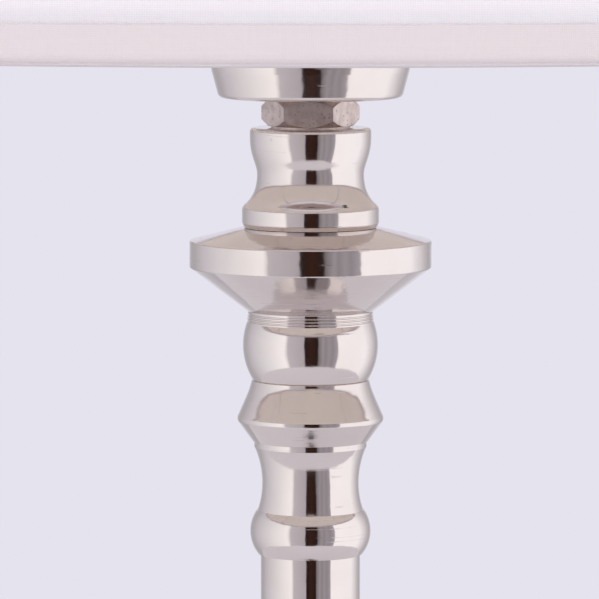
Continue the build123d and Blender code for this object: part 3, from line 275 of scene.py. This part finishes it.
painted_casting = worked("painted_casting", 0.28 * mm, {
    "Plain": (0.016, 0.016, 0.018, 1), "Stained": (0.045, 0.040, 0.037, 1), "Lumps": 420.0, "Speckles": 0.9,
    "Dullness": 0.48})
dressed(painted_casting, "base_weight")
dull_steel = worked("dull_steel", 0.03 * mm, {
    "Plain": (0.74, 0.645, 0.62, 1), "Stained": (0.40, 0.315, 0.29, 1), "Lumps": 520.0, "Speckles": 0.75,
    "Dullness": 0.30, "Streaks": 0.25}, Metallic=1.0)
dressed(dull_steel, "foot_nut", "foot_washer", "nut_washer", "lock_nut", "grub_screw")
rod_steel = worked("rod_steel", 0.05 * mm, {
    "Plain": (0.46, 0.43, 0.40, 1), "Stained": (0.20, 0.17, 0.15, 1), "Lumps": 900.0, "Speckles": 0.6,
    "Dullness": 0.36, "Streaks": 0.6}, Metallic=1.0)
dressed(rod_steel, "through_rod")


# ------------------------------------------------------------------ foot, column and turned pieces
# The turned brass pieces are polished and nickel plated: a warm grey mirror with faint turning lines, a
# slightly wavy face, a few hairlines and nicks, and dull smudges where it has been handled.
plating, plating_in, plating_out = effect("plating", {
    "Lines": ("Float", 0.3), "Waves": ("Float", 1.0), "Marks": ("Float", 1.0), "Dullness": ("Float", 0.08),
    "Bright": ("Color", (0.74, 0.69, 0.68, 1)), "Tarnished": ("Color", (0.66, 0.60, 0.57, 1))})
spot = node(plating, "TexCoord").outputs["Object"]
x, y, z = node(plating, "SeparateXYZ", {0: spot}).outputs
out_from_axis = maths(plating, "SQRT", maths(plating, "ADD", maths(plating, "MULTIPLY", x, x),
                                             maths(plating, "MULTIPLY", y, y)))
round_axis = maths(plating, "MULTIPLY", maths(plating, "ARCTAN2", y, x), 0.0004)
# Turning lines are noise over (distance from the axis, height), drawn out along the turn.
lathe_spot = node(plating, "CombineXYZ", {0: out_from_axis, 1: z, 2: round_axis}).outputs[0]
fine_lines = grain(plating, lathe_spot, 2600, 3, 0.7)
line_bands = spread(plating, grain(plating, lathe_spot, 180, 1), 0.42, 0.62)
lines = maths(plating, "MULTIPLY", fine_lines, line_bands)
lines = maths(plating, "MULTIPLY", lines, plating_in.outputs["Lines"])
waves = maths(plating, "MULTIPLY", grain(plating, spot, 330, 1, 0.4), plating_in.outputs["Waves"])
# Hairlines are thin contours of a long, stretched noise, shown only here and there.
hair_noise = grain(plating, lathe_spot, 420, 0)
off_contour = maths(plating, "ABSOLUTE", maths(plating, "SUBTRACT", hair_noise, 0.5))
hair = spread(plating, off_contour, 0.004, 0.012, 1, 0)
hair = maths(plating, "MULTIPLY", hair, spread(plating, grain(plating, spot, 160, 1), 0.55, 0.62))
nick_cells = node(plating, "TexVoronoi", {"Vector": spot, "Scale": 260.0}, distance="EUCLIDEAN")
nick_lot = node(plating, "SeparateColor", {0: nick_cells.outputs["Color"]}).outputs[0]
nicks = spread(plating, nick_cells.outputs["Distance"], 0.05, 0.13, 1, 0)
nicks = maths(plating, "MULTIPLY", nicks, spread(plating, nick_lot, 0.965, 0.97))
marks = maths(plating, "MULTIPLY", maths(plating, "MAXIMUM", hair, nicks), plating_in.outputs["Marks"])
smudge = spread(plating, grain(plating, spot, 75, 3, 0.6), 0.35, 0.75)
tarnish = maths(plating, "MAXIMUM", maths(plating, "MULTIPLY", smudge, 0.5), marks)
colour = mixed(plating, tarnish, plating_in.outputs["Bright"], plating_in.outputs["Tarnished"])
duller = maths(plating, "ADD", maths(plating, "MULTIPLY", smudge, 0.05),
               maths(plating, "MULTIPLY", marks, 0.25))
rough = maths(plating, "ADD", plating_in.outputs["Dullness"], duller)
height = maths(plating, "SUBTRACT", maths(plating, "ADD", lines, waves),
               maths(plating, "MULTIPLY", marks, 0.6))
gives(plating, plating_out, colour, rough, height)

nickel_relief = 0.018 * mm


def nickel(name, **values):
    """Nickel plate with its own share of lines, waves and marks."""
    material, tree, shader = plain_material(name, Metallic=1.0)
    finished(tree, shader, plating, values, nickel_relief)
    return material


turned_nickel = nickel("turned_nickel", Lines=0.35, Waves=2.0, Marks=0.7, Dullness=0.07)
drawn_nickel = nickel("drawn_nickel", Lines=0.12, Waves=0.8, Marks=0.15, Dullness=0.06)
spun_nickel = nickel("spun_nickel", Lines=0.5, Waves=1.4, Marks=0.5, Dullness=0.09)
dressed(spun_nickel, "base_foot")
dressed(drawn_nickel, "column_tube")
dressed(turned_nickel, "lower_ring", "lower_neck", "lower_double_cone", "upper_ring", "upper_neck",
        "ball_bead", "drip_pan", "holder_cap")


# ------------------------------------------------------------------ double cone and candle cup
# Two of the turned pieces that show most, each turned from the bar, bored through for the rod and recessed
# below to sit on its neighbour, with every edge just broken and polished.
def eased(corners):
    """Corners (r, z, ease) in mm, joined by straight lines. A corner with an ease gives way to a quadratic
    curve that starts and ends that far off, or at most a share of the way along, between two held points a
    quarter further on. One without an ease is kept."""
    most = 0.38
    held = 1.25
    corners = np.asarray(corners, float)
    points = []
    for n, (corner_r, corner_z, ease) in enumerate(corners):
        corner = np.array([corner_r, corner_z])
        if ease == 0:
            points.append(corner[None])
            continue
        back = corners[n - 1, :2] - corner
        ahead = corners[(n + 1) % len(corners), :2] - corner
        start = corner + back * min(ease / np.linalg.norm(back), most)
        end = corner + ahead * min(ease / np.linalg.norm(ahead), most)
        t = np.linspace(0, 1, 7)[:, None]
        curve = (1 - t) ** 2 * start + 2 * t * (1 - t) * corner + t ** 2 * end
        points += [(corner + held * (start - corner))[None], curve, (corner + held * (end - corner))[None]]
    return np.concatenate(points) * mm


def swept(p0, p1, p2, p3):
    """A cubic curve from p0 to p3, with p1 and p2 as its pulls, as corners with no ease."""
    t = np.linspace(0, 1, 18)[:, None]
    curve = ((1 - t) ** 3 * np.array(p0) + 3 * t * (1 - t) ** 2 * np.array(p1)
             + 3 * t ** 2 * (1 - t) * np.array(p2) + t ** 3 * np.array(p3))
    return np.column_stack([curve, np.zeros(len(t))]).tolist()


def turned_piece(name, node_name, corners):
    """A bored piece: the closed outline, up the outside and down the bore, carried round the axis. The
    corners' heights count up from the foot of the piece's CAD node."""
    outline = eased(corners) + np.array([0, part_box(node_name)[0][2]])
    piece = skin(name, turned(outline, np.arange(192) * 2 * pi / 192), True)
    piece.data.materials.append(turned_nickel)
    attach(piece, "stand")
    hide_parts(node_name)


# In millimetres: the bore, the spigot on top and the recess below are the same on both pieces.
bore_r = 5.25
spigot_r = 8.0
spigot_high = 1.5
recess_r = 8.1
recess_deep = 1.6
cone_high = 12.3
cone_rim_r = 14.65
turned_piece("double_cone", "upper_double_cone", [
    (recess_r, 0, 0.08), (11.6, 0, 0.12), (cone_rim_r, 4.2, 0.33), (cone_rim_r, 4.95, 0.33),
    *swept((14.5, 5.25), (13.45, 7.7), (12.24, 10.1), (11.82, 12.1)), (11.8, cone_high, 0.1),
    (spigot_r, cone_high, 0.05), (spigot_r, cone_high + spigot_high, 0.15),
    (bore_r, cone_high + spigot_high, 0.1), (bore_r, recess_deep, 0.08), (recess_r, recess_deep, 0.08)])
cup_high = 20.0
cup_step_r = 13.72
cup_waist_r = 10.7
cup_lip_r = 12.15
turned_piece("candle_socket_cup", "candle_cup", [
    (recess_r, 0, 0.08), (13.2, 0, 0.15), (cup_step_r, 0.95, 0.3), (cup_step_r, 3.95, 0.5),
    *swept((13.2, 4.65), (11.6, 5.95), (10.72, 7.8), (cup_waist_r, 10.6)),
    *swept((cup_waist_r, 10.7), (cup_waist_r, 12.45), (cup_lip_r, 14.3), (cup_lip_r, 17.9)),
    (cup_lip_r, cup_high, 1.1), (bore_r, cup_high, 0.1), (bore_r, recess_deep, 0.08),
    (recess_r, recess_deep, 0.08)])


# ------------------------------------------------------------------ lead bush and inner lead
# A satin moulded bush lines the hole at the back of the foot. The twin lead runs up through the rod to the
# holder, where its two stripped cores are clamped.
satin_plastic = worked("satin_plastic", 0.02 * mm, {
    "Plain": (0.70, 0.68, 0.63, 1), "Stained": (0.60, 0.56, 0.49, 1), "Lumps": 260.0, "Speckles": 0.15,
    "Dullness": 0.38})
dressed(satin_plastic, "cord_bushing")
lead_sheath = worked("lead_sheath", 0.03 * mm, {
    "Plain": (0.62, 0.60, 0.54, 1), "Stained": (0.50, 0.46, 0.39, 1), "Lumps": 380.0, "Speckles": 0.2,
    "Dullness": 0.5, "Streaks": 0.2})
dressed(lead_sheath, "inner_lead", "holder_wires")


# ------------------------------------------------------------------ bulb holder
# A nickel-plated holder for a screw cap: unglazed ceramic core, stamped brass contacts and screw shell, a
# mantle that screws over them, and a sliding bar switch with black buttons.
holder_ceramic = worked("holder_ceramic", 0.03 * mm, {
    "Plain": (0.74, 0.71, 0.64, 1), "Stained": (0.58, 0.53, 0.44, 1), "Lumps": 300.0, "Speckles": 0.35,
    "Dullness": 0.58})
dressed(holder_ceramic, "holder_core")
stamped_brass = worked("stamped_brass", 0.02 * mm, {
    "Plain": (0.78, 0.58, 0.26, 1), "Stained": (0.48, 0.31, 0.12, 1), "Lumps": 340.0, "Speckles": 0.4,
    "Dullness": 0.22, "Streaks": 0.35}, Metallic=1.0)
dressed(stamped_brass, "terminal_posts", "terminal_screws", "centre_contact", "screw_shell", "switch_bridge")
holder_nickel = nickel("holder_nickel", Lines=0.2, Waves=0.8, Marks=1.0, Dullness=0.09)
dressed(holder_nickel, "holder_mantle", "switch_bar")
knurled_nickel = nickel("knurled_nickel", Lines=0.35, Waves=0.8, Marks=1.4, Dullness=0.13)
dressed(knurled_nickel, "lower_shade_ring", "upper_shade_ring")
black_gloss = worked("black_gloss", 0.012 * mm, {
    "Plain": (0.010, 0.010, 0.011, 1), "Stained": (0.028, 0.026, 0.025, 1), "Lumps": 280.0, "Speckles": 0.2,
    "Dullness": 0.16}, Coat_Weight=0.3)
dressed(black_gloss, "switch_buttons")


# ------------------------------------------------------------------ bulb
# A clear filament bulb: rolled aluminium cap, black glassy insulator with a soldered tip, thin blown glass,
# a glass stem, and four strips coated in a yellow compound.
rolled_cap = worked("rolled_cap", 0.03 * mm, {
    "Plain": (0.74, 0.74, 0.75, 1), "Stained": (0.52, 0.51, 0.50, 1), "Lumps": 420.0, "Speckles": 0.5,
    "Dullness": 0.30, "Streaks": 0.3}, Metallic=1.0)
dressed(rolled_cap, "bulb_cap")
solder = worked("solder", 0.08 * mm, {
    "Plain": (0.58, 0.57, 0.56, 1), "Stained": (0.36, 0.34, 0.32, 1), "Lumps": 700.0, "Speckles": 0.6,
    "Dullness": 0.36}, Metallic=1.0)
dressed(solder, "bulb_tip")
black_glass = worked("black_glass", 0.02 * mm, {
    "Plain": (0.008, 0.008, 0.010, 1), "Stained": (0.024, 0.021, 0.022, 1), "Lumps": 520.0, "Speckles": 0.3,
    "Dullness": 0.12}, Coat_Weight=0.5)
dressed(black_glass, "bulb_nose")
blown_glass = worked("blown_glass", 0.006 * mm, {
    "Plain": (0.97, 0.98, 0.97, 1), "Stained": (0.93, 0.94, 0.93, 1), "Lumps": 60.0, "Speckles": 0.05,
    "Dullness": 0.0}, Transmission_Weight=1.0, IOR=1.5)
dressed(blown_glass, "bulb_glass", "bulb_stem")
coated_strip = worked("coated_strip", 0.08 * mm, {
    "Plain": (0.86, 0.58, 0.10, 1), "Stained": (0.72, 0.42, 0.05, 1), "Lumps": 1100.0, "Speckles": 0.5,
    "Dullness": 0.62})
dressed(coated_strip, "bulb_filaments")


# ------------------------------------------------------------------ shade wires and fitter
# The shade hangs on a white coated wire frame: a flat ring on the holder, three bent arms welded to it and
# to the bottom wire, and a plain top wire. The coating has drips and small bare specks.
coated_wire = worked("coated_wire", 0.05 * mm, {
    "Plain": (0.80, 0.79, 0.76, 1), "Stained": (0.66, 0.63, 0.58, 1), "Lumps": 330.0, "Speckles": 0.3,
    "Dullness": 0.34}, Coat_Weight=0.15)
dressed(coated_wire, "fitter_ring", "shade_arms", "shade_bottom_wire", "shade_top_wire")


# ------------------------------------------------------------------ shade cloth, lining and hems
# Fine white plain-weave cloth bonded to a stiff white liner, rolled to a cone and lapped down the back, with
# a strip of the same cloth folded round the wire and glued down along each edge.
weave, weave_in, weave_out = effect("weave", {
    "Thread": ("Color", (0.80, 0.77, 0.83, 1)), "Between": ("Color", (0.62, 0.58, 0.62, 1)),
    "Count": ("Float", 2600.0), "Slubs": ("Float", 0.3)})
cloth_spot = node(weave, "UVMap", uv_map="UVMap").outputs[0]
across, along, _ = node(weave, "SeparateXYZ", {0: cloth_spot}).outputs
count = weave_in.outputs["Count"]
# Threads wander by a share of their own width, so that no two rows are quite even.
wander = maths(weave, "MULTIPLY", maths(weave, "SUBTRACT", grain(weave, cloth_spot, 260, 2), 0.5), 0.7)
warp_place = maths(weave, "ADD", maths(weave, "MULTIPLY", across, count), wander)
weft_place = maths(weave, "ADD", maths(weave, "MULTIPLY", along, count), wander)
warp = maths(weave, "ABSOLUTE", maths(weave, "SINE", maths(weave, "MULTIPLY", warp_place, pi)))
weft = maths(weave, "ABSOLUTE", maths(weave, "SINE", maths(weave, "MULTIPLY", weft_place, pi)))
# A plain weave: the warp lies on top where the whole numbers of the two places add up to an odd one.
crossing = maths(weave, "ADD", maths(weave, "FLOOR", warp_place), maths(weave, "FLOOR", weft_place))
over = maths(weave, "MODULO", maths(weave, "ABSOLUTE", crossing), 2.0)
thread_top = maths(weave, "ADD", maths(weave, "MULTIPLY", warp, over),
                   maths(weave, "MULTIPLY", weft, maths(weave, "SUBTRACT", 1.0, over)))
long_slub = node(weave, "VectorMath", {0: cloth_spot, 1: (0.05, 1.0, 1.0)}, operation="MULTIPLY").outputs[0]
tall_slub = node(weave, "VectorMath", {0: cloth_spot, 1: (1.0, 0.05, 1.0)}, operation="MULTIPLY").outputs[0]
slubs = maths(weave, "ADD", grain(weave, long_slub, 1500, 1), grain(weave, tall_slub, 1500, 1))
slubs = maths(weave, "MULTIPLY", spread(weave, slubs, 0.85, 1.3), weave_in.outputs["Slubs"])
# The cloth is painted darker in the hollows between the threads, a painted shade, and a little darker along
# the slubs, which are a real tone of the yarn. The gap colour serves both.
gap_shadow = maths(weave, "MULTIPLY", maths(weave, "SUBTRACT", 1.0, thread_top), 0.55)
gap_shadow_and_slubs = spread(weave, maths(weave, "ADD", gap_shadow, maths(weave, "MULTIPLY", slubs, 0.35)), 0, 1)
colour = mixed(weave, gap_shadow_and_slubs, weave_in.outputs["Thread"], weave_in.outputs["Between"])
rough = maths(weave, "ADD", 0.78, maths(weave, "MULTIPLY", thread_top, 0.12))
gives(weave, weave_out, colour, rough, maths(weave, "ADD", thread_top, slubs))

light_deep = 1.4 * mm
light_reach = (1.0, 0.95, 0.9)


def woven(name, relief, through, **values):
    """Cloth of the weave group, with a soft sheen on its threads, that lets a share of the light through."""
    material, tree, shader = plain_material(
        name, Sheen_Weight=0.15, Sheen_Roughness=0.6, Subsurface_Weight=through,
        Subsurface_Scale=light_deep, Subsurface_Radius=light_reach)
    finished(tree, shader, weave, values, relief)
    return material


threads_per_metre = 2800.0
shade_cloth = woven("shade_cloth", 0.03 * mm, 0.5, Thread=(0.89, 0.845, 0.905, 1),
                    Between=(0.77, 0.72, 0.775, 1), Count=threads_per_metre)
hem_cloth = woven("hem_cloth", 0.035 * mm, 0.0, Thread=(0.79, 0.725, 0.75, 1),
                  Between=(0.70, 0.635, 0.655, 1), Count=threads_per_metre)
liner = worked("liner", 0.02 * mm, {
    "Plain": (0.93, 0.87, 0.82, 1), "Stained": (0.88, 0.82, 0.76, 1), "Lumps": 120.0, "Speckles": 0.1,
    "Dullness": 0.42}, Subsurface_Weight=0.6, Subsurface_Scale=light_deep, Subsurface_Radius=light_reach)

shade_bottom_r = 200
shade_top_r = 150
shade_high = 240
lean = (shade_top_r - shade_bottom_r) / shade_high
cover_low, cover_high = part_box("shade_cover")
low_z = cover_low[2]
high_z = cover_high[2]
low_r = cover_high[0]
cloth_thick = 0.55 * mm
under_hem = 0.05 * mm
# Even steps round the shade, and finer ones at the cut edge of the lap, six millimetres past the back.
shade_mid_r = 175 * mm
lap_past = 6 * mm
lap_over = 40 * mm
lap_thick = 0.4 * mm
lap_cut = 0.2 * mm
lap_edge = pi / 2 + lap_past / shade_mid_r
lap_steps = lap_edge + np.linspace(-2, 2, 5) * lap_cut / shade_mid_r
shade_turn = np.sort(np.append(np.arange(360) * 2 * pi / 360 + 0.003, lap_steps))
shade_turn_closed = np.append(shade_turn, shade_turn[0] + 2 * pi)
slow_waver = np.sin(5 * shade_turn + 1) + np.sin(9 * shade_turn + 2.2)


def shade_r(z):
    """The radius of the shade's cone at the height z."""
    return low_r + lean * (z - low_z)


def smooth(share):
    """A share from 0 to 1 with soft ends: three times its square, less twice its cube."""
    return share * share * (3 - 2 * share)


def shade_skin(name, low, high, out, back):
    """A closed shell on the cone: the outer side at the cone's radius plus out, the inner side plus back,
    both as rows from low to high, with rounded edges. The radius also swells by the lap's thickness over
    40 mm, drops back at the lap's cut edge, and has a slow waver of a fifth of a millimetre."""
    edge_round = 0.1 * mm
    z = low + np.linspace(0, 1, 42) * (high - low)
    outer = np.column_stack([shade_r(z) + out, z])
    inner = np.column_stack([shade_r(z) + back, z])[::-1]
    mid = (out + back) / 2
    top = np.array([[shade_r(high) + mid, high + edge_round]])
    foot = np.array([[shade_r(low) + mid, low - edge_round]])
    outline = np.concatenate([outer, top, inner, foot])
    points = turned(outline, shade_turn)
    before_edge = (lap_edge - shade_turn) * shade_mid_r
    swell = np.clip(1 - before_edge / lap_over, 0, 1) * np.clip(before_edge / lap_cut + 0.5, 0, 1)
    pushed_out(points, shade_turn, smooth(swell) * lap_thick + 0.1 * mm * slow_waver)
    v = np.append(outline[:, 1], outline[0, 1])
    return skin(name, points, True, shade_turn_closed * shade_mid_r, v)


cloth = shade_skin("shade_cloth_cone", low_z, high_z, -under_hem, -under_hem - cloth_thick)
cloth.data.materials.append(shade_cloth)
cloth.data.materials.append(liner)
normals = np.empty(len(cloth.data.polygons) * 3)
centres = np.empty(len(cloth.data.polygons) * 3)
cloth.data.polygons.foreach_get("normal", normals)
cloth.data.polygons.foreach_get("center", centres)
outward = (normals.reshape(-1, 3)[:, :2] * centres.reshape(-1, 3)[:, :2]).sum(1)
cloth.data.polygons.foreach_set("material_index", (outward < 0).astype(np.int32))
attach(cloth, "shade")
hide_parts("shade_cover")

hem_band = 6.9 * mm
hem_thick = 0.32 * mm
hem_off = 0.22 * mm
hem_fold = 2.0 * mm
hem_lip = 7.0 * mm
wire_thick = 3.0 * mm
wire_clear = 0.35 * mm


def hem_strip(name, node_name, wire_name, up):
    """The strip's path in (r, z): along the outside of the cone to the edge, half an ellipse round the wire,
    and up the inside, easing across to the lining past the wire. It has half its thickness to each side of
    the path, and is carried round the axis."""
    hem_low, hem_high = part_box(node_name)
    edge_z = hem_low[2] if up > 0 else hem_high[2]
    edge_r = shade_r(edge_z)
    outer_r = edge_r + hem_off
    inner_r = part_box(wire_name)[1][0] - wire_thick - wire_clear
    down = np.linspace(1, 0, 14)
    outside_z = edge_z + up * (hem_fold + down * (hem_band - hem_fold))
    outside = np.column_stack([shade_r(outside_z) + hem_off, outside_z])
    bend = np.linspace(0, pi, 22)[1:-1]
    round_wire = np.column_stack([(outer_r + inner_r) / 2 + (outer_r - inner_r) / 2 * np.cos(bend),
                                  edge_z + up * (hem_fold - (hem_fold - 0.2 * mm) * np.sin(bend))])
    back_up = np.linspace(0, 1, 16)
    inside_z = edge_z + up * (hem_fold + back_up * hem_lip)
    lining_r = shade_r(inside_z) - cloth_thick - 0.3 * mm
    press = smooth(np.clip((back_up - 0.3) / 0.45, 0, 1))
    inside = np.column_stack([inner_r + (lining_r - inner_r) * press, inside_z])
    path = np.concatenate([outside, round_wire, inside])
    along = np.gradient(path, axis=0)
    along /= np.linalg.norm(along, axis=1)[:, None]
    sideways = np.column_stack([along[:, 1], -along[:, 0]]) * up * hem_thick / 2
    outline = np.concatenate([path - sideways, (path + sideways)[::-1]])
    # The sum is twice the outline's area, and below zero where the outline runs the wrong way round.
    after = np.roll(outline, -1, axis=0)
    if np.sum(outline[:, 0] * after[:, 1] - after[:, 0] * outline[:, 1]) < 0:
        outline = outline[::-1]
    points = turned(outline, shade_turn)
    pucker = np.sin(41 * shade_turn) * np.sin(13 * shade_turn)
    pushed_out(points, shade_turn, 0.08 * mm * slow_waver + 0.05 * mm * pucker)
    steps = np.linalg.norm(np.diff(np.vstack([outline, outline[:1]]), axis=0), axis=1)
    strip = skin(name, points, True, shade_turn_closed * edge_r, np.append(0, np.cumsum(steps)))
    strip.data.materials.append(hem_cloth)
    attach(strip, "shade")
    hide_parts(node_name)


hem_strip("bottom_hem_strip", "shade_bottom_hem", "shade_bottom_wire", 1)
hem_strip("top_hem_strip", "shade_top_hem", "shade_top_wire", -1)


# ------------------------------------------------------------------ studio
# A pale table, an even pale room, a soft box at each side and grey cards in front with a dark gap between
# them. The boxes and cards are seen only in the metal; two large soft lamps light the cloth and the floor.
backdrop = (0.783, 0.768, 0.855, 1)
card_far = 0.54
card_high = 1.1
card_strips = 48


def card(name, inner, outer, colour_at):
    """Part of an upright tube round the lamp: (far sin a, -far cos a, z), a from inner to outer in degrees.
    It glows in the colours of colour_at, each at its share of the way round: first, last, those between."""
    a = np.radians(np.linspace(inner, outer, card_strips + 1))[:, None] * np.ones((1, 2))
    z = np.array([[0.0, card_high]]) * np.ones((card_strips + 1, 1))
    points = np.stack([card_far * np.sin(a), -card_far * np.cos(a), z], -1)
    first = np.arange(card_strips) * 2
    faces = np.stack([first, first + 2, first + 3, first + 1], -1)
    mesh = bpy.data.meshes.new(name)
    mesh.from_pydata(points.reshape(-1, 3).tolist(), [], faces.tolist())
    share = np.repeat(np.linspace(0, 1, card_strips + 1), 2)
    loops = np.empty(len(mesh.loops), int)
    mesh.loops.foreach_get("vertex_index", loops)
    uv = np.stack([share[loops], (loops % 2).astype(float)], -1)
    mesh.uv_layers.new(name="UVMap").data.foreach_set("uv", uv.ravel())
    made = bpy.data.objects.new(name, mesh)
    scene.collection.objects.link(made)
    material = bpy.data.materials.new(name)
    material.use_nodes = True
    tree = material.node_tree
    tree.nodes.clear()
    along = node(tree, "SeparateXYZ", {0: node(tree, "TexCoord").outputs["UV"]}).outputs[0]
    ramp = node(tree, "ValToRGB", {0: along})
    for n, (at, colour) in enumerate(colour_at):
        stop = ramp.color_ramp.elements[n] if n < 2 else ramp.color_ramp.elements.new(at)
        stop.position = at
        stop.color = (*colour, 1)
    glow = node(tree, "Emission", {"Color": ramp.outputs[0], "Strength": 1.0})
    node(tree, "OutputMaterial", {"Surface": glow.outputs[0]})
    mesh.materials.append(material)
    made.visible_camera = made.visible_diffuse = made.visible_transmission = False
    made.visible_shadow = made.visible_volume_scatter = False


card("left_soft_box", -40, -141, (
    (0.0, (0.85, 0.83, 0.84)), (1.0, (0.53, 0.51, 0.53)), (0.05, (1.22, 1.20, 1.20)),
    (0.45, (0.94, 0.93, 0.95)), (0.82, (0.69, 0.67, 0.72))))
card("left_card", -40, -10, ((0.0, (0.66, 0.63, 0.67)), (1.0, (0.55, 0.52, 0.56))))
card("dark_gap", -10.4, 13, (
    (0.0, (0.016, 0.011, 0.010)), (1.0, (0.02, 0.013, 0.011)), (0.5, (0.05, 0.02, 0.014))))
card("right_card", 13, 47, (
    (0.0, (0.22, 0.20, 0.21)), (1.0, (0.46, 0.43, 0.46)), (0.13, (0.32, 0.30, 0.32)),
    (0.25, (0.43, 0.40, 0.43)), (0.38, (0.33, 0.31, 0.33)), (0.55, (0.42, 0.39, 0.42)),
    (0.72, (0.35, 0.33, 0.36)), (0.9, (0.43, 0.40, 0.44))))
card("right_soft_box", 47, 134, (
    (0.0, (1.23, 1.20, 1.21)), (1.0, (0.71, 0.68, 0.71)), (0.7, (1.20, 1.18, 1.21))))
card("back_left_card", -141, -168, (
    (0.0, (0.53, 0.51, 0.53)), (1.0, (0.68, 0.66, 0.71)), (0.5, (0.50, 0.48, 0.51))))
card("back_right_card", 134, 166, (
    (0.0, (0.70, 0.67, 0.70)), (1.0, (0.68, 0.66, 0.71)), (0.5, (0.50, 0.48, 0.51))))


def seen_plain(tree):
    """1 for a ray from the camera, off metal or through glass, and 0 for one that lights a surface."""
    path = node(tree, "LightPath").outputs
    seen = maths(tree, "MAXIMUM", path["Is Camera Ray"], path["Is Glossy Ray"])
    return maths(tree, "MAXIMUM", seen, path["Is Transmission Ray"])


floor_mesh = bpy.data.meshes.new("floor")
half = 60.0
corners = [(-half, -half, 0), (half, -half, 0), (half, half, 0), (-half, half, 0)]
floor_mesh.from_pydata(corners, [], [(0, 1, 2, 3)])
floor = bpy.data.objects.new("floor", floor_mesh)
scene.collection.objects.link(floor)
floor_paint, tree, shader = plain_material("floor_paint", Base_Color=(0.74, 0.71, 0.73, 1), Roughness=0.9,
                                           Specular_IOR_Level=0.0)
flat = node(tree, "Emission", {"Color": backdrop, "Strength": 1.0})
spot = node(tree, "TexCoord").outputs["Object"]
far_off = node(tree, "VectorMath", {0: spot}, operation="LENGTH").outputs["Value"]
share = maths(tree, "MULTIPLY", spread(tree, far_off, 0.4, 1.9, 0.3, 1.0), seen_plain(tree))
both = node(tree, "MixShader", {0: share, 1: shader.outputs[0], 2: flat.outputs[0]})
tree.links.new(both.outputs[0], tree.nodes["Material Output"].inputs["Surface"])
floor_mesh.materials.append(floor_paint)

world = bpy.data.worlds.new("studio")
world.use_nodes = True
scene.world = world
tree = world.node_tree
tree.nodes.clear()
room = node(tree, "Background", {"Color": (0.955, 0.94, 0.955, 1), "Strength": 1.0})
wall = node(tree, "Background", {"Color": backdrop, "Strength": 1.0})
both = node(tree, "MixShader", {0: seen_plain(tree), 1: room.outputs[0], 2: wall.outputs[0]})
node(tree, "OutputWorld", {"Surface": both.outputs[0]})

lamp_watts = 3.0
lamp_aim = Vector((0, 0, 0.35))
for side in (-1, 1):
    lamp_data = bpy.data.lights.new("soft_lamp", "AREA")
    lamp_data.shape = "RECTANGLE"
    lamp_data.size = 0.9
    lamp_data.size_y = 1.2
    lamp_data.energy = lamp_watts
    lamp = bpy.data.objects.new("soft_lamp", lamp_data)
    lamp.location = (side * 0.95, -1.1, 0.75)
    lamp.rotation_euler = (lamp_aim - lamp.location).to_track_quat("-Z", "Y").to_euler()
    lamp.visible_glossy = False
    lamp.visible_camera = False
    scene.collection.objects.link(lamp)
